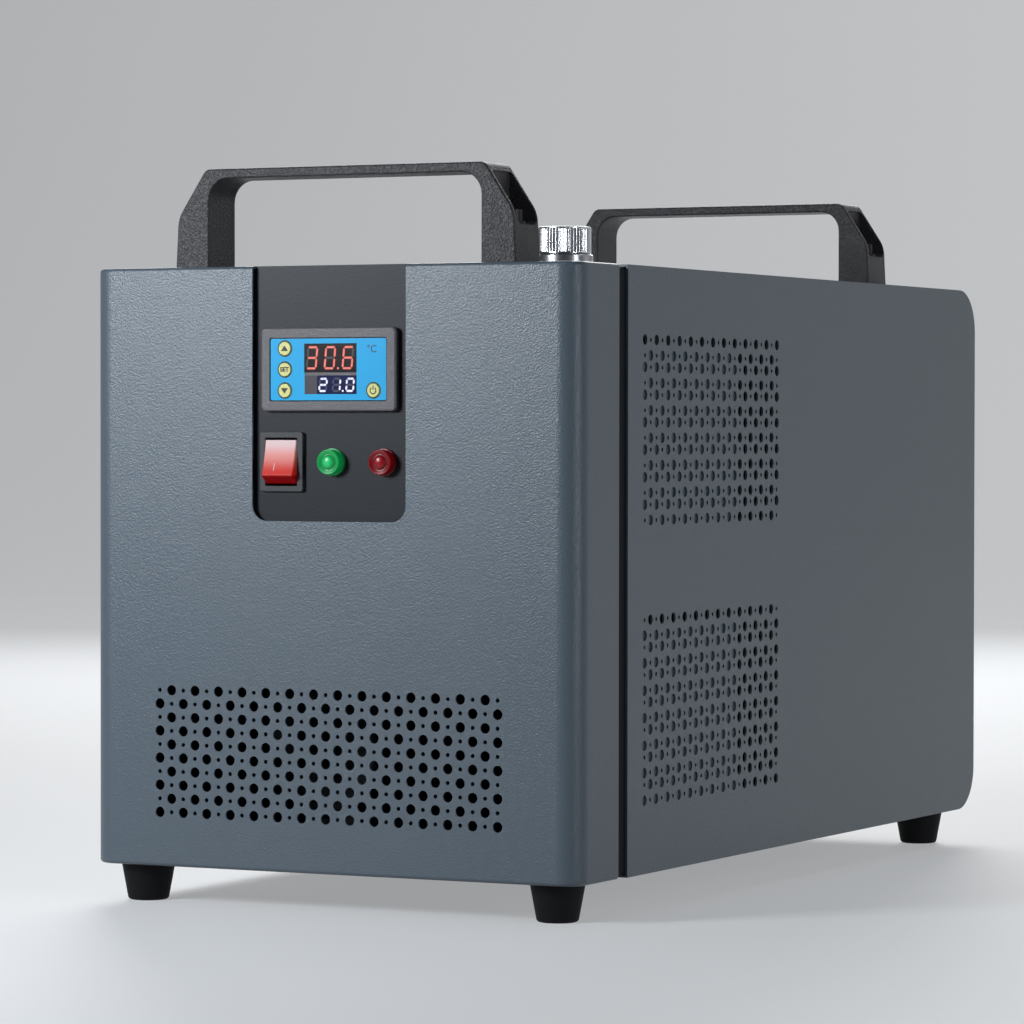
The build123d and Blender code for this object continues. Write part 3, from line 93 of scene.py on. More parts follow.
class Finish:
    # One procedural material. Constants sit on the shader's sockets, and what varies is linked to them
    def __init__(self, name, constants):
        self.material = bpy.data.materials.new(name)
        self.material.use_nodes = True
        self.tree = self.material.node_tree
        self.shader = self.tree.nodes["Principled BSDF"]
        for socket, value in constants.items():
            self.shader.inputs[socket].default_value = value

    def add(self, kind, settings, values, output=0):
        node = self.tree.nodes.new(kind)
        for key, value in settings.items():
            setattr(node, key, value)
        for key, value in values.items():
            if isinstance(value, Signal):
                self.tree.links.new(value.socket, node.inputs[key])
            else:
                node.inputs[key].default_value = value
        return Signal(self, node.outputs[output])

    def place(self, centre=(0, 0, 0), scale=(1, 1, 1)):
        # Object coordinates, moved so that centre is the pattern's middle
        coords = self.add("ShaderNodeTexCoord", {}, {}, "Object")
        shift = [-c * s for c, s in zip(centre, scale)]
        return self.add("ShaderNodeMapping", {}, {"Vector": coords, "Location": shift, "Scale": scale})

    def axes(self, vector):
        return [self.add("ShaderNodeSeparateXYZ", {}, {0: vector}, i) for i in range(3)]

    def noise(self, vector, scale, detail=2.0, rough=0.5):
        return self.add("ShaderNodeTexNoise", {}, {
            "Vector": vector, "Scale": scale, "Detail": detail, "Roughness": rough})

    def blend(self, factor, first, second):
        return self.add("ShaderNodeMix", {"data_type": "RGBA"}, {0: factor, 6: first, 7: second}, 2)

    def ease(self, value, low, high):
        # 0 below low, 1 above high and a smooth step between them
        return self.add("ShaderNodeMapRange", {"interpolation_type": "SMOOTHSTEP"}, {
            "Value": value, "From Min": low, "From Max": high, "To Min": 0.0, "To Max": 1.0})

    def bump(self, height, depth, strength=1.0):
        return self.add("ShaderNodeBump", {}, {
            "Height": height, "Distance": depth, "Strength": strength})

    def done(self, **links):
        names = {"colour": "Base Color", "rough": "Roughness", "normal": "Normal", "glow": "Emission Color"}
        for key, value in links.items():
            self.tree.links.new(value.socket, self.shader.inputs[names[key]])
        return self.material


def tint(colour, by):
    # A colour made lighter or darker, with its alpha
    return (*[min(1.0, c * by) for c in colour[:3]], 1.0)


powderCoat = {
    "colour": (0.100, 0.132, 0.162), "roughness": 0.315, "peelSize": 0.85 * mm, "peelDepth": 0.26 * mm,
    "grainSize": 0.35 * mm, "cloudSize": 160 * mm, "spread": 0.05, "specular": 0.5,
}
panelCoat = {
    "colour": (0.013, 0.016, 0.022), "roughness": 0.40, "peelSize": 1.1 * mm, "peelDepth": 0.05 * mm,
    "grainSize": 0.4 * mm, "cloudSize": 60 * mm, "spread": 0.08, "specular": 0.19,
}
neckCoat = dict(panelCoat, colour=(0.004, 0.005, 0.007), roughness=0.62, specular=0.12)


def coatFinish(name, style):
    # Sprayed coat: soft dimples of peelSize, a finer grain over them and slow clouds in its tone
    made = Finish(name, {"Specular IOR Level": style["specular"]})
    place = made.place()
    peel = made.noise(place, 1 / style["peelSize"], 1.5, 0.45)
    grain = made.noise(place, 1 / style["grainSize"], 2.0, 0.6)
    cloud = made.noise(place, 1 / style["cloudSize"], 2.0)
    tone = (cloud * 0.55 + peel * 0.3 + grain * 0.15).clamp()
    spread = style["spread"]
    colour = made.blend(tone, tint(style["colour"], 1 - spread), tint(style["colour"], 1 + spread))
    height = peel * 0.75 + grain * 0.25
    rough = style["roughness"] - 0.07 + grain * 0.14
    return made.done(colour=colour, rough=rough, normal=made.bump(height, style["peelDepth"]))


moulded = {"specular": 0.45, "darkest": 0.65, "lightest": 1.45}
handlePlastic = dict(moulded, colour=(0.038, 0.036, 0.038), roughness=0.45, spark=1.0 * mm, depth=0.40 * mm)
# Foot rubber: black rubber, with its colour darkened further by painted shade, since the feet stand in
# shade under the body. The hose takes the same style with its own colour
footRubberAndShade = dict(moulded, colour=(0.006, 0.006, 0.007), roughness=0.62, spark=1.6 * mm, depth=0.03 * mm,
                  specular=0.15)
hoseRubber = dict(footRubberAndShade, colour=(0.03, 0.03, 0.033))
bezelPlastic = dict(moulded, colour=(0.128, 0.122, 0.132), roughness=0.42, spark=0.6 * mm, depth=0.16 * mm)
blackPlastic = dict(moulded, colour=(0.016, 0.016, 0.018), roughness=0.45, spark=0.8 * mm, depth=0.02 * mm)
switchPlastic = dict(blackPlastic, colour=(0.026, 0.027, 0.031), roughness=0.52)
keyPlastic = dict(moulded, colour=(0.80, 0.71, 0.20), roughness=0.35, spark=1.2 * mm, depth=0.01 * mm)
tankPlastic = dict(moulded, colour=(0.66, 0.69, 0.68), roughness=0.4, spark=2.0 * mm, depth=0.02 * mm)


def mouldedFinish(name, style):
    # Moulded plastic or rubber: a spark texture of rounded cells, with some of them catching light
    made = Finish(name, {"Specular IOR Level": style["specular"]})
    place = made.place()
    cells = made.add("ShaderNodeTexVoronoi", {"feature": "SMOOTH_F1"}, {
        "Vector": place, "Scale": 1 / style["spark"], "Smoothness": 0.6})
    fine = made.noise(place, 2.2 / style["spark"], 2.0)
    flow = made.noise(place, 1 / (45 * mm), 2.0)
    tone = (cells * 0.6 + fine * 0.4).clamp()
    dark, light = tint(style["colour"], style["darkest"]), tint(style["colour"], style["lightest"])
    rough = style["roughness"] - 0.1 + fine * 0.12 + flow * 0.08
    relief = made.bump(cells + fine * 0.4, style["depth"])
    return made.done(colour=made.blend(tone, dark, light), rough=rough, normal=relief)


chromePlate = {"colour": (0.70, 0.71, 0.73), "roughness": 0.21, "streak": 0.10}
turnedSteel = {"colour": (0.46, 0.46, 0.47), "roughness": 0.28, "streak": 0.14}
screwSteel = {"colour": (0.52, 0.52, 0.53), "roughness": 0.3, "streak": 0.12}
zincSheet = {"colour": (0.44, 0.46, 0.48), "roughness": 0.38, "streak": 0.18}
finStock = {"colour": (0.66, 0.67, 0.69), "roughness": 0.33, "streak": 0.15}
copperTube = {"colour": (0.72, 0.33, 0.18), "roughness": 0.3, "streak": 0.15}
turnedBrass = {"colour": (0.66, 0.49, 0.22), "roughness": 0.27, "streak": 0.15}
blackOxide = {"colour": (0.035, 0.034, 0.034), "roughness": 0.42, "streak": 0.1}


def metalFinish(name, style):
    # Bare metal: turning or rolling streaks along Z levels, with slow stains in the tone
    made = Finish(name, {"Metallic": 1.0})
    lines = made.noise(made.place(scale=(0.06, 0.06, 1.0)), 1 / (0.35 * mm), 3.0, 0.6)
    stain = made.noise(made.place(), 1 / (18 * mm), 3.0)
    tone = (stain * 0.7 + lines * 0.3).clamp()
    colour = made.blend(tone, tint(style["colour"], 0.88), tint(style["colour"], 1.08))
    rough = style["roughness"] - style["streak"] / 2 + lines * style["streak"]
    return made.done(colour=colour, rough=rough, normal=made.bump(lines, 0.01 * mm, 0.4))


# The film's glow is a painted glow: the film gives off light, though nothing lights it
filmPrint = {"colour": (0.010, 0.42, 0.80), "low": (0.008, 0.37, 0.74), "roughness": 0.32, "specular": 0.16,
             "glow": 0.14}


def filmFinish():
    # Printed film: an even ink with a slow change of tone and the slight waviness of a thin sheet. It also
    # has a painted glow: the film gives off light in its own colour, though it is no lamp
    made = Finish("printed_film", {"Specular IOR Level": filmPrint["specular"],
                                    "Emission Strength": filmPrint["glow"]})
    wave = made.noise(made.place(), 1 / (22 * mm), 1.0)
    dots = made.noise(made.place(), 1 / (0.3 * mm), 1.0)
    tone = (wave * 0.8 + dots * 0.2).clamp()
    colour = made.blend(tone, (*filmPrint["low"], 1), (*filmPrint["colour"], 1))
    rough = filmPrint["roughness"] + dots * 0.1
    return made.done(colour=colour, rough=rough, glow=colour, normal=made.bump(wave, 0.05 * mm, 0.5))


displayGlass = {
    "top": (0.008, 0.003, 0.004), "navy": (0.004, 0.005, 0.070), "grey": (0.10, 0.095, 0.11),
    "specular": 0.12, "coat": 0.08, "coatRoughness": 0.06, "roughness": 0.16, "split": 7.3,
}


def windowFinish(name, first, second=None, edge=0.0):
    # Smoked window under a clear glossy face: one cloudy tint, or two that meet at the x value edge
    look = displayGlass
    made = Finish(name, {"Specular IOR Level": look["specular"], "Coat Weight": look["coat"],
                         "Coat Roughness": look["coatRoughness"]})
    place = made.place()
    haze = made.noise(place, 1 / (3 * mm), 2.0)
    mask = (made.axes(place)[0] > edge) if second else haze * 0.2
    other = (*second, 1) if second else tint(first, 2.2)
    return made.done(colour=made.blend(mask, (*first, 1), other), rough=look["roughness"] + haze * 0.08)


def litFinish(name, colour, strength, core):
    # A lit segment: one colour with brighter patches of another
    made = Finish(name, {"Base Color": (0.02, 0.01, 0.01, 1), "Roughness": 0.4,
                         "Emission Strength": strength})
    cells = made.noise(made.place(), 1 / (1.1 * mm), 1.0)
    return made.done(glow=made.blend(made.ease(cells, 0.35, 0.7), (*colour, 1), (*core, 1)))


def inkFinish(name, colour):
    # A thin layer of print with a fine grain
    made = Finish(name, {"Specular IOR Level": 0.4})
    grain = made.noise(made.place(), 1 / (0.25 * mm), 2.0)
    ink = made.blend(grain, tint(colour, 0.8), tint(colour, 1.25))
    return made.done(colour=ink, rough=0.42 + grain * 0.12)


# Rocker tints by height: the palest and the lighter red are a painted highlight on the upper face, the
# darkest is painted shade on the underside, and the plain red is the rocker's own colour
rockerTints = {"pale": (0.66, 0.47, 0.48, 1), "painted_light_rose": (0.68, 0.22, 0.19, 1), "red": (0.60, 0.026, 0.018, 1),
               "painted_shade": (0.30, 0.003, 0.004, 1)}
rockerLook = {"glow": 0.16, "specular": 0.12, "roughness": 0.27,
              "shadeEnd": (0.12, 0.22), "middle": (0.24, 0.68), "highlightEnd": (0.60, 0.95)}


def rockerFinish():
    # Lit rocker: pale at its top end with a painted highlight, saturated lower down, and dark on the
    # underside with painted shade. The glow takes the same painted tones
    low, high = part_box("rocker")
    look = rockerLook
    made = Finish("lit_rocker", {"Emission Strength": look["glow"], "Specular IOR Level": look["specular"]})
    height = made.axes(made.place())[2]
    haze = made.noise(made.place(), 1 / (7 * mm), 1.0)
    level = (height - low.z) / (high.z - low.z) + (haze - 0.5) * 0.06
    # Painted shade towards the underside, painted highlight towards the top end
    body = made.blend(made.ease(level, *look["shadeEnd"]), rockerTints["painted_shade"], rockerTints["red"])
    upper = made.blend(made.ease(level, *look["highlightEnd"]), rockerTints["painted_light_rose"], rockerTints["pale"])
    colour = made.blend(made.ease(level, *look["middle"]), body, upper)
    return made.done(colour=colour, glow=colour, rough=look["roughness"] + haze * 0.06)


lampForm = {
    "flange": 7.25, "flangeHeight": 1.3, "flangeEdge": 0.4, "barrel": 6.5, "fillet": 0.05, "shoulder": 5.9,
    "edge": 0.6, "groove": 4.1, "grooveSlope": 0.35, "grooveDepth": 0.6, "dome": 3.7, "domeFoot": 0.1,
    "domeHeight": 0.9,
}
lampLook = {
    "green_lamp": {"colour": (0.004, 0.33, 0.075), "core": (0.03, 0.62, 0.19), "edge": (0.002, 0.13, 0.03),
                   "glow": 0.24},
    "red_lamp": {"colour": (0.22, 0.002, 0.006), "core": (0.32, 0.004, 0.010), "edge": (0.09, 0.001, 0.002),
                 "glow": 0.10},
}


def lampFinish(node):
    # Moulded lens: its glow is brightest at its dome, painted shade darkens the groove round it, and the
    # flange is darker
    low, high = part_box(node)
    form, look = lampForm, lampLook[node]
    made = Finish(node + "_lens", {"Emission Strength": look["glow"], "Specular IOR Level": 0.3,
                                   "Coat Weight": 0.1, "Coat Roughness": 0.08})
    x, _, z = made.axes(made.place(centre=tuple((low + high) / 2)))
    radius = (x * x + z * z) ** 0.5 / mm
    haze = made.noise(made.place(), 1 / (2.5 * mm), 1.0)
    # Painted shade: a darker ring along the groove
    groove = (1 - ((radius - form["groove"]) ** 2 / 0.3).clamp()) * 0.6
    shade = made.blend(made.ease(radius, 0.6, form["dome"]), (*look["core"], 1), (*look["colour"], 1))
    colour = made.blend(made.ease(radius, form["barrel"], form["flange"]), shade, (*look["edge"], 1))
    shaded = made.blend((groove + haze * 0.2).clamp(), colour, (*look["edge"], 1))
    return made.done(colour=shaded, glow=shaded, rough=0.22 + haze * 0.08)


# Which finish each record slot takes
finishes = {
    "powder_coat": coatFinish("powder_coat", powderCoat),
    "panel_coat": coatFinish("panel_coat", panelCoat),
    "neck_coat": coatFinish("neck_coat", neckCoat),
    "foot_rubber": mouldedFinish("foot_rubber", footRubberAndShade),
    "handle_plastic": mouldedFinish("handle_plastic", handlePlastic),
    "bezel_plastic": mouldedFinish("bezel_plastic", bezelPlastic),
    "film": filmFinish(),
    "display": windowFinish("display_red", displayGlass["top"]),
    "key_plastic": mouldedFinish("key_plastic", keyPlastic),
    "switch_plastic": mouldedFinish("switch_plastic", switchPlastic),
    "rocker_red": rockerFinish(),
    "green_lens": lampFinish("green_lamp"),
    "red_lens": lampFinish("red_lamp"),
    "chrome_cap": metalFinish("chrome_cap", chromePlate),
    "neck_metal": metalFinish("neck_metal", turnedSteel),
    "screw_steel": metalFinish("screw_steel", screwSteel),
    "black_plastic": mouldedFinish("black_plastic", blackPlastic),
    "tank_plastic": mouldedFinish("tank_plastic", tankPlastic),
    "zinc_sheet": metalFinish("zinc_sheet", zincSheet),
    "copper": metalFinish("copper", copperTube),
    "brass": metalFinish("brass", turnedBrass),
    "hose_rubber": mouldedFinish("hose_rubber", hoseRubber),
    "can_steel": coatFinish("can_steel", neckCoat),
    "fin_aluminium": metalFinish("fin_aluminium", finStock),
}
for sub in frame["record"]["subparts"]:
    slots = nodes[sub["node"]].data.materials
    slots.clear()
    slots.append(finishes[sub["material_slot"]])
# The record has these screws in bare steel. Black ones don't show in the dark of their pockets
nodes["handle_screws"].data.materials[0] = metalFinish("black_oxide", blackOxide)
print("finishes set:", len(finishes))


# Tools for new pieces
def newMesh(name, points, faces):
    # points is (n, 3) in millimetres, faces is a list of index rows
    mesh = bpy.data.meshes.new(name)
    mesh.from_pydata((np.asarray(points, float).reshape(-1, 3) * mm).tolist(), [], faces)
    mesh.update()
    piece = bpy.data.objects.new(name, mesh)
    bpy.context.scene.collection.objects.link(piece)
    return piece


def dress(piece, body, material):
    # One finish, and the body that the piece belongs to
    piece.data.materials.clear()
    piece.data.materials.append(material)
    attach(piece, body)
    return piece


def closeUp(mesh):
    # Merges doubles and turns all faces outwards
    work = bmesh.new()
    work.from_mesh(mesh)
    bmesh.ops.remove_doubles(work, verts=work.verts, dist=1e-6)
    bmesh.ops.recalc_face_normals(work, faces=work.faces)
    work.to_mesh(mesh)
    work.free()


def smooth(piece, angle=35):
    # Rounded stretches shade smoothly and edges sharper than the angle stay crisp
    piece.data.shade_smooth()
    piece.data.set_sharp_from_angle(angle=radians(angle))
    even = piece.modifiers.new("even", "WEIGHTED_NORMAL")
    even.keep_sharp = True
    return piece


def stack(name, rings, closed=False):
    # Skin over a pile of rings with equally many points: ring i joins ring i + 1. Both ends are capped,
    # or the last ring joins the first
    points = np.asarray(rings, float)
    rows, count, _ = points.shape
    index = np.arange(rows * count).reshape(rows, count)
    lower, upper = (index, np.roll(index, -1, axis=0)) if closed else (index[:-1], index[1:])
    walls = np.stack([lower, np.roll(lower, -1, axis=1), np.roll(upper, -1, axis=1), upper], axis=-1)
    caps = [] if closed else [index[0, ::-1].tolist(), index[-1].tolist()]
    piece = newMesh(name, points, walls.reshape(-1, 4).tolist() + caps)
    closeUp(piece.data)
    return smooth(piece)


def roundedRing(centre, width, height, radius, depth, steps=7):
    # Rounded rectangle facing the front: four quarter arcs, counter-clockwise
    angle = np.linspace(0, pi / 2, steps) + np.arange(4)[:, None] * pi / 2
    side = np.array([(1, 1), (-1, 1), (-1, -1), (1, -1)])
    x = centre[0] + side[:, :1] * (width / 2 - radius) + radius * np.cos(angle)
    z = centre[1] + side[:, 1:] * (height / 2 - radius) + radius * np.sin(angle)
    return np.stack([x.ravel(), np.full(x.size, depth), z.ravel()], axis=-1)


def circleRing(centre, radius, depth, count=56):
    # Circle facing the front
    angle = np.arange(count) * (2 * pi / count)
    x, z = centre[0] + radius * np.cos(angle), centre[1] + radius * np.sin(angle)
    return np.stack([x, np.full(count, depth), z], axis=-1)


def bend(start, stop, steps=5):
    # Quarter of an ellipse from start to stop in a profile, leaving start along its second value
    turn = np.linspace(0, pi / 2, steps)
    first = start[0] + (stop[0] - start[0]) * (1 - np.cos(turn))
    second = start[1] + (stop[1] - start[1]) * np.sin(turn)
    return list(zip(first, second))


def plates(name, outlines, front, back):
    # Flat plates facing -Y: each outline of k points (x, z), run from depth front to depth back.
    # Point (i, s, j) is outline i's point j at side s, and the walls join side 0 to side 1
    outlines = np.asarray(outlines, float)
    count, k, _ = outlines.shape
    points = np.empty((count, 2, k, 3))
    points[..., 0] = outlines[:, None, :, 0]
    points[..., 2] = outlines[:, None, :, 1]
    points[:, 0, :, 1] = front
    points[:, 1, :, 1] = back
    index = np.arange(count * 2 * k).reshape(count, 2, k)
    after = np.roll(index, -1, axis=2)
    walls = np.stack([index[:, 0], index[:, 1], after[:, 1], after[:, 0]], axis=-1).reshape(-1, 4)
    faces = index[:, 0].tolist() + index[:, 1, ::-1].tolist() + walls.tolist()
    return newMesh(name, points, faces)


def isCounterClockwise(outline):
    # The area inside is positive where an outline of (x, z) runs counter-clockwise as seen from the front
    x, z = np.asarray(outline, float).T
    return np.sum(x * np.roll(z, -1) - np.roll(x, -1) * z) > 0


def counterClockwise(outline):
    return outline if isCounterClockwise(outline) else outline[::-1]


def inwards(outline):
    # Unit vectors that point into the outline, one for each point, square to the mean of its two sides
    ahead, behind = np.roll(outline, -1, axis=0) - outline, outline - np.roll(outline, 1, axis=0)
    ahead, behind = (v / np.linalg.norm(v, axis=1)[:, None] for v in (ahead, behind))
    along = ahead + behind
    inward = np.stack([-along[:, 1], along[:, 0]], axis=1) / np.linalg.norm(along, axis=1)[:, None]
    return inward if isCounterClockwise(outline) else -inward


def softEdge(radius, steps=5):
    # (depth, inset) over a rounded edge, from the flat face to the full width
    turns = np.linspace(0, pi / 2, steps)[::-1]
    return [(radius * (1 - np.sin(t)), radius * (1 - np.cos(t))) for t in turns]


def arcBand(centre, inner, outer, start, stop, steps):
    # Band between two radii over an angle: out along one arc and back along the other
    angles = np.radians(np.linspace(start, stop, steps))
    ring = np.stack([np.cos(angles), np.sin(angles)], axis=1)
    return np.concatenate([ring * outer, ring[::-1] * inner]) + np.asarray(centre)


digitShape = {"slant": 0.09, "gap": 0.16, "point": 0.55}
segmentsOn = {
    "0": "abcdef", "1": "bc", "2": "abged", "3": "abgcd", "4": "fgbc",
    "5": "afgcd", "6": "afgedc", "7": "abc", "8": "abcdefg", "9": "abcdfg",
}


def segment(letter, width, height, bar):
    # Six-sided bar with pointed ends, flat or upright, at its place in a digit centred on (0, 0)
    flat = letter in "adg"
    span = (width if flat else height / 2) - bar - digitShape["gap"]
    row = {"a": 1, "d": -1, "g": 0}.get(letter)
    side = -1 if letter in "ef" else 1
    level = 1 if letter in "bf" else -1
    rise = (height - bar) / 2
    middle = (0, row * rise) if flat else (side * (width - bar) / 2, level * rise / 2)
    long, half = span / 2, bar / 2
    bars = np.array([(-long, 0), (-long + half, -half), (long - half, -half),
                     (long, 0), (long - half, half), (-long + half, half)])
    return (bars if flat else bars[:, ::-1] * (-1, 1)) + middle


def readout(name, text, left, bottom, width, height, pitch, bar, front, back, lit):
    # The lit or the unlit segments of a line of digits, leaning right by slant. Lit points have six sides
    outlines = []
    hexagon = np.array([(np.cos(a), np.sin(a)) for a in np.arange(6) * pi / 3 + pi / 6])
    column = 0
    for sign in text:
        if sign == ".":
            spot = left + column * pitch - (pitch - width) / 2
            dot = hexagon * bar * digitShape["point"]
            outlines += [dot + (spot, bottom + bar / 2)] if lit else []
            continue
        for letter in "abcdefg":
            if (letter in segmentsOn[sign]) != lit:
                continue
            shape = segment(letter, width, height, bar) + (width / 2, height / 2)
            shape[:, 0] += shape[:, 1] * digitShape["slant"] + left + column * pitch
            outlines.append(shape + (0, bottom))
        column += 1
    return plates(name, [counterClockwise(o) for o in outlines], front, back)


def inMm(node):
    low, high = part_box(node)
    return low / mm, high / mm


def middleOf(node):
    # (x, z) at the middle of a node's box, millimetres
    low, high = inMm(node)
    return (low.x + high.x) / 2, (low.z + high.z) / 2


def curveMesh(name, curve, x, z, face, thick):
    # A flat curve made into a closed plate at (x, z), from depth face to face + thick
    curve.extrude = thick / 2
    drawn = bpy.data.objects.new(name + "_curve", curve)
    bpy.context.scene.collection.objects.link(drawn)
    mesh = bpy.data.meshes.new_from_object(drawn.evaluated_get(bpy.context.evaluated_depsgraph_get()))
    bpy.data.objects.remove(drawn)
    upright = Matrix.Rotation(radians(90), 4, "X")
    mesh.transform(Matrix.Scale(mm, 4) @ Matrix.Translation((x, face + thick / 2, z)) @ upright)
    closeUp(mesh)
    mesh.name = name
    piece = bpy.data.objects.new(name, mesh)
    bpy.context.scene.collection.objects.link(piece)
    return piece


def lettering(name, words, x, z, size, face, thick, weight=0.0):
    # Words centred on (x, z), standing out from the depth face by thick, millimetres
    curve = bpy.data.curves.new(name, "FONT")
    curve.body = words
    curve.align_x, curve.align_y = "CENTER", "CENTER"
    curve.size = size
    curve.offset = weight
    return curveMesh(name, curve, x, z, face - thick, thick)


def punched(name, outline, holes, face, thick):
    # Flat plate with an outline and holes, each an array of (x, z)
    curve = bpy.data.curves.new(name, "CURVE")
    curve.dimensions = "2D"
    curve.fill_mode = "BOTH"
    for loop in [outline, *holes]:
        spline = curve.splines.new("POLY")
        spline.points.add(len(loop) - 1)
        flat = np.column_stack([loop, np.zeros(len(loop)), np.ones(len(loop))])
        spline.points.foreach_set("co", flat.ravel())
        spline.use_cyclic_u = True
    return curveMesh(name, curve, 0, 0, face, thick)


controller = {
    "borderWidth": 5.6, "outerRadius": 2.5, "innerRadius": 0.9, "outerEdge": 1.1, "innerEdge": 0.45,
    "recess": 0.4, "bed": 0.8, "keyGap": 0.3, "slack": 0.12,
}
keyNodes = ("up_key", "set_key", "down_key", "power_key")


def makeController():
    # Bezel: a rounded border round a bed with four key holes, and the printed film that lies on the bed
    low, high = inMm("controller_bezel")
    centre = middleOf("controller_bezel")
    width, height = high.x - low.x, high.z - low.z
    border, edge, lip = controller["borderWidth"], controller["outerEdge"], controller["innerEdge"]
    front, back = low.y, high.y
    profile = [(0, back), *bend((0, front + edge), (edge, front))]
    profile += [(border - lip - y, front + lip - i) for i, y in bend((lip, 0), (0, lip))]
    profile += [(border, back)]
    rings = []
    for inset, depth in profile:
        share = inset / border
        radius = controller["outerRadius"] * (1 - share) + controller["innerRadius"] * share
        rings.append(roundedRing(centre, width - 2 * inset, height - 2 * inset, radius, depth))
    bezel = stack("controller_border", rings, closed=True)
    keys = [keyCentre(node) for node in keyNodes]
    holes = [circleRing((x, z), radius + controller["keyGap"], 0)[:, ::2] for x, z, _, radius in keys]
    inside = (width - 2 * border, height - 2 * border)
    slack, radius, depth = controller["slack"], controller["innerRadius"], controller["bed"]
    outline = roundedRing(centre, inside[0] + slack, inside[1] + slack, radius, 0)[:, ::2]
    bed = punched("controller_bed", outline, holes, front + depth, back - front - depth)
    for piece in (bezel, bed):
        dress(piece, "casing", finishes["bezel_plastic"])
        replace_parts(piece, "controller_bezel")
    start, stop = inMm("setpoint_window")[0], inMm("temperature_window")[1]
    pane = np.array([(start.x, start.z), (stop.x, start.z), (stop.x, stop.z), (start.x, stop.z)])
    outline = roundedRing(centre, inside[0] - slack, inside[1] - slack, radius - slack / 2, 0)[:, ::2]
    recess = controller["recess"]
    film = punched("printed_film", outline, [*holes, pane], front + recess, depth - recess)
    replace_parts(dress(film, "casing", finishes["film"]), "controller_film")


digitRaise = 0.05
display = {
    "temperature": {
        "text": "30.6", "inset": 0.9, "rise": 1.5,
        "digits": {"width": 6.4, "height": 11.9, "pitch": 10.5, "bar": 1.1},
        "lit": litFinish("lit_red", (0.76, 0.065, 0.030), 1.0, (0.88, 0.14, 0.08)),
        "unlit": inkFinish("unlit_segment", (0.022, 0.015, 0.015)),
    },
    "setpoint": {
        "text": "21.0", "inset": 8.0, "rise": 1.1,
        "digits": {"width": 5.1, "height": 7.3, "pitch": 7.9, "bar": 1.05},
        "lit": litFinish("lit_white", (0.60, 0.64, 1.0), 1.0, (0.90, 0.92, 1.0)),
        "unlit": inkFinish("unlit_segment_blue", (0.016, 0.018, 0.055)),
    },
}


def makeDisplay():
    # Two lines of digits, one on each window, and the lower window's two tints
    face = inMm("temperature_window")[0].y - digitRaise
    for line, look in display.items():
        low = inMm(line + "_window")[0]
        left, bottom = low.x + look["inset"], low.z + look["rise"]
        for tag in ("lit", "unlit"):
            made = readout(f"{line}_{tag}", look["text"], left, bottom, **look["digits"],
                           front=face, back=low.y, lit=tag == "lit")
            dress(made, "casing", look[tag])
    slots = nodes["setpoint_window"].data.materials
    slots.clear()
    split = (inMm("setpoint_window")[0].x + displayGlass["split"]) * mm
    slots.append(windowFinish("display_navy", displayGlass["grey"], displayGlass["navy"], split))


keyMarks = {
    "rimStart": 0.32, "rimStop": 0.85, "raise": 0.05,
    "ink": (0.012, 0.012, 0.006), "rim": (0.004, 0.055, 0.050),
    "up": [(-2.1, -1.26), (2.1, -1.26), (0, 1.575)], "down": [(-2.1, 1.26), (2.1, 1.26), (0, -1.575)],
    "stroke": [(-0.3, 0.2), (0.3, 0.2), (0.3, 2.3), (-0.3, 2.3)],
    "arc": {"centre": (0, -0.15), "inner": 1.35, "outer": 1.95, "start": 125, "stop": 415, "steps": 30},
}


def keyCentre(node):
    # x, z, face and radius of a key
    low, high = inMm(node)
    return *middleOf(node), low.y, (high.x - low.x) / 2


def keyOutlines(node):
    # Outlines of a key's sign round (0, 0): a triangle, or an open circle with a stroke. One key has a word
    if node in ("up_key", "down_key"):
        return [keyMarks[node.replace("_key", "")]]
    return [arcBand(**keyMarks["arc"]), keyMarks["stroke"]] if node == "power_key" else []


def makeKeyMarks():
    ink = inkFinish("key_ink", keyMarks["ink"])
    rim = inkFinish("key_rim", keyMarks["rim"])
    film, height = inMm("controller_bezel")[0].y + controller["recess"], keyMarks["raise"]
    for node in keyNodes:
        x, z, face, radius = keyCentre(node)
        # Ring: a flat dark band on the film, round the key's hole
        inner, outer = radius + keyMarks["rimStart"], radius + keyMarks["rimStop"]
        levels = [(inner, film - height), (outer, film - height), (outer, film), (inner, film)]
        ring = stack(node + "_ring", [circleRing((x, z), r, depth, 48) for r, depth in levels], closed=True)
        dress(ring, "casing", rim)
        for i, mark in enumerate(keyOutlines(node)):
            outline = np.asarray(counterClockwise(mark), float) + (x, z)
            made = plates(f"{node}_mark_{i}", [outline], face - height, face)
            dress(made, node.replace("_key", "_button"), ink)
    x, z, face, _ = keyCentre("set_key")
    word = lettering("set_key_word", "SET", x, z, 3.2, face, height, 0.13)
    dress(word, "set_button", ink)


def makeFilmMarks():
    # The degree sign at the film's upper right
    low, high = inMm("controller_film")
    ink = inkFinish("film_ink", (0.006, 0.06, 0.17))
    sign = lettering("degree_mark", "°C", high.x - 8.2, high.z - 6.0, 5.2, low.y, 0.04, 0.06)
    dress(sign, "casing", ink)


rockerForm = {
    "frameEdge": 0.35, "frameRadius": 1.3, "frameHeight": 2.2, "bodyStep": (4.4, 4.0), "bodyRadius": 0.5,
    "opening": (18.6, 24.6), "mouth": (0.5, 0.4), "cavity": 17.0, "width": 18.2, "side": 0.5,
    "top": (11.2, 0.2), "corner": (-7.2, 4.7), "end": (-11.2, -0.6), "hollow": 0.5, "round": 0.7,
    "behind": [(-10.4, -6.0), (-3.0, -9.0), (3.0, -9.0), (10.4, -6.0)],
    "mark": {"x": -2.4, "level": -2.6, "height": 3.6, "width": 0.45, "raise": 0.05,
             "ink": (0.80, 0.46, 0.43)},
}


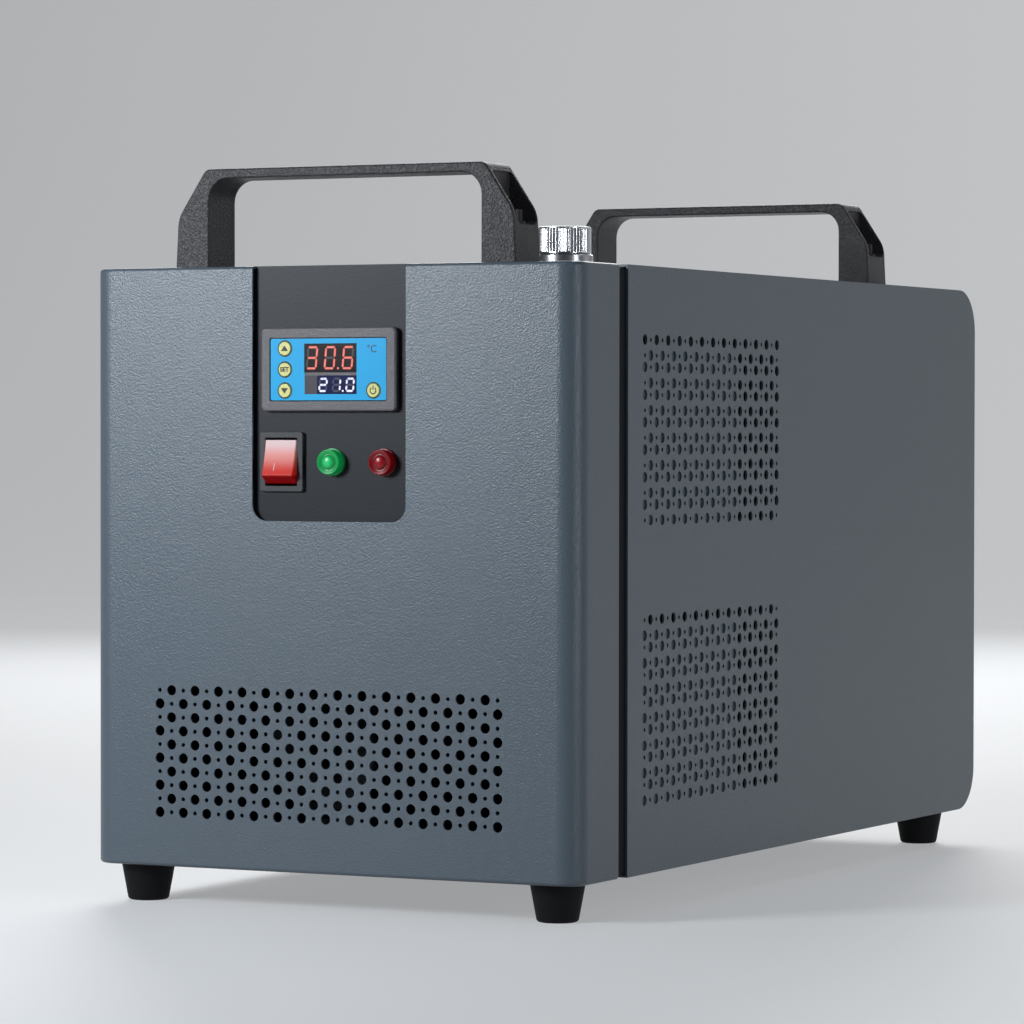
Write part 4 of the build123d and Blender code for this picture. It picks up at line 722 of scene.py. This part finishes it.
def makeRockerFrame():
    # Frame and body in one moulding: from the body's back to the frame's front, then into the cavity
    form = rockerForm
    low, high = inMm("rocker_housing")
    centre = middleOf("rocker_housing")
    panelFace, floor = low.y + form["frameHeight"], low.y + form["cavity"]
    wide, tall = high.x - low.x, high.z - low.z
    edge, hole, corner = form["frameEdge"], form["opening"], form["bodyRadius"]
    body = (wide - form["bodyStep"][0], tall - form["bodyStep"][1])
    rings = [roundedRing(centre, *body, corner, depth) for depth in (high.y, panelFace)]
    for inset, depth in [(0, panelFace), *bend((0, low.y + edge), (edge, low.y))]:
        size = (wide - 2 * inset, tall - 2 * inset)
        rings.append(roundedRing(centre, *size, form["frameRadius"] - inset / 2, depth))
    flare, mouth = form["mouth"]
    for grow, depth in [(flare, low.y), (0.0, low.y + mouth), (0.0, floor)]:
        rings.append(roundedRing(centre, hole[0] + grow, hole[1] + grow, corner, depth))
    moulding = stack("rocker_frame", rings)
    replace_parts(dress(moulding, "casing", finishes["switch_plastic"]), "rocker_housing")


def rockerFace(share):
    # Point of the lever's face, (height, out), from its top edge to its corner, hollowed by a parabola
    top, corner = np.array(rockerForm["top"]), np.array(rockerForm["corner"])
    share = np.asarray(share, float)[..., None]
    dip = np.array([0, -4 * rockerForm["hollow"]]) * share * (1 - share)
    return top + (corner - top) * share + dip


def leverOutline():
    # The lever's side profile in (height, out), rounded at the proud corner
    face = rockerFace(np.linspace(0, 1, 14))
    corner, end = face[-1], np.array(rockerForm["end"])
    before = corner + (face[-2] - corner) / np.linalg.norm(face[-2] - corner) * rockerForm["round"]
    after = corner + (end - corner) / np.linalg.norm(end - corner) * rockerForm["round"]
    share = np.linspace(0, 1, 6)[:, None]
    turn = before * (1 - share) ** 2 + 2 * corner * share * (1 - share) + after * share ** 2
    return np.concatenate([face[:-1], turn, [end], rockerForm["behind"]])


def makeRockerLever():
    # Lever: its side profile, carried across with rounded long edges
    (across, level), frameFront = middleOf("rocker_housing"), inMm("rocker_housing")[0].y
    outline = leverOutline()
    inward = inwards(outline)
    half = rockerForm["width"] / 2
    stations = [(depth - half, inset) for depth, inset in softEdge(rockerForm["side"])]
    stations += [(-x, inset) for x, inset in stations[::-1]]
    rings = []
    for x, inset in stations:
        height, out = (outline + inward * inset).T
        rings.append(np.column_stack([np.full(len(out), across + x), frameFront - out, level + height]))
    lever = stack("rocker_lever", rings)
    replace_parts(dress(lever, "switch_rocker", finishes["rocker_red"]), "rocker")
    # The upright stroke lies on the face
    mark = rockerForm["mark"]
    drop = rockerForm["top"][0] - rockerForm["corner"][0]
    shares = [(rockerForm["top"][0] - mark["level"] + s * mark["height"] / 2) / drop for s in (1, -1)]
    ends = rockerFace(shares)
    rings = []
    for lift in (-mark["raise"], mark["raise"]):
        corners = [(side * mark["width"] / 2, *(ends[i] + (0, lift)))
                   for side, i in ((-1, 0), (1, 0), (1, 1), (-1, 1))]
        rings.append([(across + mark["x"] + x, frameFront - out, level + z) for x, z, out in corners])
    stroke = stack("rocker_stroke", rings)
    dress(stroke, "switch_rocker", inkFinish("rocker_ink", mark["ink"]))


def makeLamps():
    # Lens: a flange, a barrel with a rounded edge, a groove and a low dome, turned about the lamp's axis
    form = lampForm
    for node, slot in (("green_lamp", "green_lens"), ("red_lamp", "red_lens")):
        low, high = inMm(node)
        flange, rim, bevel = form["flange"], form["flangeHeight"], form["flangeEdge"]
        barrel, shoulder, edge, foot = form["barrel"], form["shoulder"], form["edge"], form["domeFoot"]
        profile = [(flange, 0), *bend((flange, rim - bevel), (flange - bevel, rim), 4)]
        profile += [(barrel + form["fillet"], rim)]
        profile += bend((barrel, shoulder - edge), (barrel - edge, shoulder), 6)
        rise = shoulder - form["grooveDepth"]
        profile += [(form["groove"] + form["grooveSlope"], rise + foot), (form["groove"], rise),
                    (form["dome"] + foot, rise + foot / 2)]
        turn = np.linspace(0, pi / 2, 10)[:-1]
        top = min(high.y - low.y, shoulder + form["domeHeight"])
        height = rise + foot + (top - rise - foot) * np.sin(turn)
        profile += [*zip(form["dome"] * np.cos(turn), height), (0.05, top)]
        centre = middleOf(node)
        lens = stack(node + "_lens", [circleRing(centre, radius, high.y - out) for radius, out in profile])
        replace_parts(dress(lens, "casing", finishes[slot]), node)


makeDisplay()
makeKeyMarks()
makeController()
makeFilmMarks()
makeRockerFrame()
makeRockerLever()
makeLamps()
print("display and markings made")


# Grilles: places of the holes, and the two sheets with round holes cut in them
grille = {
    "bigRadius": 2.75, "smallRadius": 1.1, "sides": 20,
    "pitch": 7.08, "frontColumns": 29, "frontRows": 10, "frontRowPitch": 7.1,
    "frontOffset": -1.5, "frontDrop": 220.6,
    "sideColumns": 25, "sideRows": 14, "wideStep": 8.05, "narrowStep": 6.1,
    "sideStart": 78.3, "upperDrop": 37.9, "lowerDrop": 182.1,
    "ahead": 3.0, "through": 6.0, "past": 0.5,
}


def staggeredHoles(columns, levels, start, first):
    # (across, height, radius) of every place: big holes every other column, small ones between them
    row, column = np.meshgrid(np.arange(len(levels)), np.arange(columns), indexing="ij")
    big = (row + column + first) % 2 == 0
    radius = np.where(big, grille["bigRadius"], grille["smallRadius"])
    across = start + column * grille["pitch"]
    return np.stack([across, np.asarray(levels)[row], radius], axis=-1).reshape(-1, 3)


def cutters(name, holes, low, high, alongX):
    # Round bars through a sheet: bar i is a ring of points at each end, from low to high across the sheet
    sides = grille["sides"]
    angle = np.arange(sides) * (2 * pi / sides)
    wide = holes[:, None, 0] + holes[:, None, 2] * np.cos(angle)
    tall = holes[:, None, 1] + holes[:, None, 2] * np.sin(angle)
    points = np.empty((len(holes), 2, sides, 3))
    points[..., 1 if alongX else 0] = wide[:, None]
    points[..., 2] = tall[:, None]
    points[:, 0, :, 0 if alongX else 1] = low
    points[:, 1, :, 0 if alongX else 1] = high
    index = np.arange(len(holes) * 2 * sides).reshape(len(holes), 2, sides)
    after = np.roll(index, -1, axis=2)
    walls = np.stack([index[:, 0], after[:, 0], after[:, 1], index[:, 1]], axis=-1).reshape(-1, 4)
    faces = index[:, 0, ::-1].tolist() + index[:, 1].tolist() + walls.tolist()
    if not alongX:
        faces = [f[::-1] for f in faces]
    made = newMesh(name, points, faces)
    made.data.materials.append(finishes["powder_coat"])
    return made


def cutAway(piece, tool):
    # The piece less the tool, as a new piece of the same name. Both old objects go
    cut = piece.modifiers.new("cut", "BOOLEAN")
    cut.operation = "DIFFERENCE"
    cut.solver = "EXACT"
    cut.material_mode = "TRANSFER"
    cut.object = tool
    name = piece.name
    mesh = bpy.data.meshes.new_from_object(piece.evaluated_get(bpy.context.evaluated_depsgraph_get()))
    bpy.data.objects.remove(piece)
    bpy.data.objects.remove(tool)
    mesh.name = name
    made = bpy.data.objects.new(name, mesh)
    bpy.context.scene.collection.objects.link(made)
    return made


def perforate(node, name, tool):
    # The sheet's own mesh, merged into a closed solid, less the round bars
    mesh = nodes[node].data.copy()
    piece = bpy.data.objects.new(name, mesh)
    bpy.context.scene.collection.objects.link(piece)
    weld = piece.modifiers.new("weld", "WELD")
    weld.merge_threshold = 0.002 * mm
    made = cutAway(piece, tool)
    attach(made, "casing")
    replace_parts(made, node)


def makeGrilles():
    low, high = inMm("front_cover")
    levels = high.z - grille["frontDrop"] - np.arange(grille["frontRows"]) * grille["frontRowPitch"]
    start = grille["frontOffset"] - (grille["frontColumns"] - 1) / 2 * grille["pitch"]
    holes = staggeredHoles(grille["frontColumns"], levels, start, 1)
    bars = cutters("front_bars", holes, low.y - grille["ahead"], low.y + grille["through"], False)
    perforate("front_cover", "front_cover_sheet", bars)
    step = np.where(np.arange(grille["sideRows"] - 1) % 2 == 0, grille["wideStep"], grille["narrowStep"])
    fall = np.concatenate([[0], np.cumsum(step)])
    start = low.y + grille["sideStart"]
    upper = staggeredHoles(grille["sideColumns"], high.z - grille["upperDrop"] - fall, start, 0)
    lower = staggeredHoles(grille["sideColumns"], high.z - grille["lowerDrop"] - fall, start, 1)
    inner, outer = inMm("right_side_panel")
    both = np.concatenate([upper, lower])
    bars = cutters("side_bars", both, inner.x - grille["past"], outer.x + grille["ahead"], True)
    perforate("right_side_panel", "right_side_sheet", bars)


def filleted(corners, radii, steps=8):
    # Outline with its corners rounded by arcs; a radius of 0 keeps the corner
    points = []
    for i, (corner, radius) in enumerate(zip(corners, radii)):
        corner = np.array(corner, float)
        if radius == 0:
            points.append(corner[None])
            continue
        back, ahead = (np.array(corners[(i + s) % len(corners)]) - corner for s in (-1, 1))
        back, ahead = back / np.linalg.norm(back), ahead / np.linalg.norm(ahead)
        half = np.arccos(back @ ahead) / 2
        middle = corner + (back + ahead) / np.linalg.norm(back + ahead) * radius / np.sin(half)
        start, stop = (corner + way * radius / np.tan(half) - middle for way in (back, ahead))
        sweep, share = pi - 2 * half, np.linspace(0, 1, steps)[:, None]
        arc = np.sin((1 - share) * sweep) * start + np.sin(share * sweep) * stop
        points.append(middle + arc / np.sin(sweep))
    return np.concatenate(points)


handleForm = {
    "foot": 100.0, "reach": 98.7, "top": 82.0, "inner": 80.1, "knee": 26.5, "bar": 5.0, "pastFoot": 5.0,
    "kneeRound": 17.0, "shoulderRound": 5.0, "innerRound": 11.5, "edge": 1.1,
    "pocketWall": 3.4, "pocketFloor": 20.0, "pocketRim": 2.6, "pocketTop": 4.2, "pocketRound": 2.6,
}


def handleOutline(base, top):
    # Upturned U, counter-clockwise from its right foot's outer corner
    form = handleForm
    knee, under = base + form["knee"], top - form["bar"]
    right = [(form["foot"], base, 0), (form["reach"], knee, form["kneeRound"]),
             (form["top"], top, form["shoulderRound"])]
    inner = [(form["inner"], under, form["innerRound"]), (form["inner"], base, 0)]
    left = [(-x, z, radius) for x, z, radius in (*inner, *right)][::-1]
    corners = np.array([*right, *left, *inner])
    return filleted(corners[:, :2], corners[:, 2])


def pocketBars(low, high):
    # The bars that a handle's two pockets are cut with: rounded in (y, z), running outwards along x
    form = handleForm
    near, floor, roof = low.y + form["pocketRim"], low.z + form["pocketFloor"], high.z - form["pocketTop"]
    width = high.y - low.y - 2 * form["pocketRim"]
    centre = (near + width / 2, (floor + roof) / 2)
    section = roundedRing(centre, width, roof - floor, form["pocketRound"], 0)[:, (1, 0, 2)]
    reach = (form["inner"] + form["pocketWall"], form["foot"] + form["pastFoot"])
    return [stack("pocket_bar", [section + (side * x, 0, 0) for x in reach]) for side in (-1, 1)]


def makeHandles():
    # Handle: its outline stacked from front to back with rounded edges, less a pocket in each shoulder
    for node in ("front_handle", "rear_handle"):
        low, high = inMm(node)
        outline = handleOutline(low.z, high.z)
        inward = inwards(outline)
        inward[np.isclose(outline[:, 1], low.z), 1] = 0
        ends = softEdge(handleForm["edge"])
        stations = [(low.y + step, inset) for step, inset in ends]
        stations += [(high.y - step, inset) for step, inset in ends[::-1]]
        rings = []
        for y, inset in stations:
            x, z = (outline + inward * inset).T
            rings.append(np.column_stack([x, np.full(len(x), y), z]))
        handle = stack(node + "_body", rings)
        for bar in pocketBars(low, high):
            handle = cutAway(handle, bar)
        closeUp(handle.data)
        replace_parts(dress(smooth(handle), "casing", finishes["handle_plastic"]), node)


capForm = {"wall": 2.6, "bore": 12.05, "plain": 1.0, "slope": 0.5, "edge": 0.45,
           "flutes": 48, "fluteDepth": 0.5, "steps": 288}


def makeCap():
    # Cap: from the roof's underside down the bore, round the rim and up the fluted side to the flat top
    form = capForm
    low, high = inMm("filler_cap")
    angle = np.arange(form["steps"]) * (2 * pi / form["steps"])
    radius, middle = (high.x - low.x) / 2, (low + high) / 2
    bottom, top, edge = low.z, high.z, form["edge"]
    grip = (bottom + form["plain"], top - form["plain"])
    levels = [(form["bore"], top - form["wall"], 0), (form["bore"], bottom, 0), (radius - edge, bottom, 0)]
    levels += [(r, z, 0) for r, z in bend((radius - edge, bottom), (radius, bottom + edge), 4)[1:]]
    levels += [(radius, grip[0], 0), (radius, grip[0] + form["slope"], 1)]
    levels += [(radius, grip[1] - form["slope"], 1), (radius, grip[1], 0), (radius, top - edge, 0)]
    levels += [(radius - edge * 0.3, top - edge * 0.3, 0), (radius - edge, top, 0)]
    wave = (1 - np.cos(form["flutes"] * angle)) / 2 * form["fluteDepth"]
    rings = []
    for r, z, fluted in levels:
        out = r - wave * fluted
        x, y = middle.x + out * np.cos(angle), middle.y + out * np.sin(angle)
        rings.append(np.column_stack([x, y, np.full(len(angle), z)]))
    cap = stack("filler_cap_shell", rings)
    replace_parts(dress(cap, "filler_lid", finishes["chrome_cap"]), "filler_cap")


makeGrilles()
makeHandles()
makeCap()
print("grilles, handles and cap made")


# Studio: a pale sweep and five soft lamps. The key lamp mirrors in the front's upper left and the strip in
# the upright corner, and the others light the side, the rear and the backdrop
studio = {
    "floor": (0.50, 0.51, 0.52), "floorBounce": 0.42, "floorGlow": (0.32, 0.325, 0.33),
    "width": 16.0, "front": -12.0, "back": 3.2, "bend": 1.6, "height": 6.0,
    "world": (0.82, 0.90, 1.0), "worldStrength": 0.08,
}
coolLight = (0.90, 0.95, 1.0)
lamps = {
    "key": {"at": (-0.50, -1.10, 0.51), "aim": (-0.06, -0.286, 0.25), "size": (0.30, 0.30), "power": 8.6,
            "colour": coolLight},
    "side": {"at": (1.8, 0.95, 0.75), "aim": (0.14, 0.0, 0.18), "size": (1.2, 1.3), "power": 1.6,
             "colour": coolLight},
    "strip": {"at": (1.98, -0.62, 0.5), "aim": (0.14, -0.27, 0.2), "size": (0.12, 1.0), "power": 8.5,
              "colour": coolLight},
    "rear": {"at": (-1.0, 2.1, 1.35), "aim": (0, 0.2, 0.18), "size": (1.6, 1.0), "power": 28,
             "colour": (1.0, 1.0, 1.0)},
    "backdrop": {"at": (0.0, 1.6, 3.2), "aim": (-0.6, 4.8, 0.9), "size": (3.0, 0.8), "power": 60,
                 "colour": (1.0, 1.0, 1.0)},
}


def makeStudio():
    # The sweep's profile runs flat, round a quarter circle and up, and is carried straight across
    turn, radius, back = np.linspace(0, pi / 2, 24), studio["bend"], studio["back"]
    y = np.concatenate([[studio["front"]], back + radius * np.sin(turn), [back + radius]])
    z = np.concatenate([[0.0], radius * (1 - np.cos(turn)), [studio["height"]]])
    half = studio["width"] / 2
    rows = np.stack([np.column_stack([np.full(len(y), x), y, z]) for x in (-half, half)]) / mm
    index = np.arange(2 * len(y)).reshape(2, len(y))
    faces = np.stack([index[0, :-1], index[1, :-1], index[1, 1:], index[0, 1:]], axis=-1)
    sweep = newMesh("studio_sweep", rows, faces.tolist())
    sweep.data.shade_smooth()
    # Rays from the camera or a gloss see the floor paler than the light it gives the object
    made = Finish("studio_floor", {"Roughness": 0.6, "Emission Strength": 1.0})
    cloud = made.noise(made.place(), 1.4, 2.0)
    camera, glossy, through = (made.add("ShaderNodeLightPath", {}, {}, f"Is {kind} Ray")
                               for kind in ("Camera", "Glossy", "Transmission"))
    seen = (camera + glossy + through).clamp()
    shown = made.blend(cloud, tint(studio["floor"], 0.98), tint(studio["floor"], 1.02))
    dim = tint(studio["floor"], studio["floorBounce"])
    glow = made.blend(seen, (0.0, 0.0, 0.0, 1.0), tint(studio["floorGlow"], 1.0))
    sweep.data.materials.append(made.done(colour=made.blend(seen, dim, shown), glow=glow))


def makeLights():
    for name, lamp in lamps.items():
        data = bpy.data.lights.new(name, "AREA")
        data.shape = "RECTANGLE"
        data.size, data.size_y = lamp["size"]
        data.energy = lamp["power"]
        data.color = lamp["colour"]
        light = bpy.data.objects.new(name, data)
        light.location = lamp["at"]
        light.rotation_euler = (Vector(lamp["aim"]) - light.location).to_track_quat("-Z", "Y").to_euler()
        bpy.context.scene.collection.objects.link(light)
    world = bpy.data.worlds.new("studio")
    world.use_nodes = True
    sky = world.node_tree.nodes["Background"]
    sky.inputs["Color"].default_value = (*studio["world"], 1)
    sky.inputs["Strength"].default_value = studio["worldStrength"]
    bpy.context.scene.world = world


view = {"at": (1120.7, -2294.9, 248.6), "yaw": 26.81, "pitch": -1.049, "roll": 0.073, "lens": 157.63}


def makeCamera():
    # The camera that was fitted to the photograph, in degrees and millimetres
    data = bpy.data.cameras.new("camera")
    data.lens = view["lens"]
    data.sensor_width = 36
    data.clip_start, data.clip_end = 0.05, 60
    camera = bpy.data.objects.new("camera", data)
    bpy.context.scene.collection.objects.link(camera)
    place = Matrix.Translation(Vector(view["at"]) * mm)
    for angle, axis in ((view["yaw"], "Z"), (90 + view["pitch"], "X"), (view["roll"], "Z")):
        place = place @ Matrix.Rotation(radians(angle), 4, axis)
    camera.matrix_world = place
    bpy.context.scene.camera = camera


makeStudio()
makeLights()
makeCamera()
bpy.context.scene.view_settings.view_transform = "Standard"
print("studio and camera set")
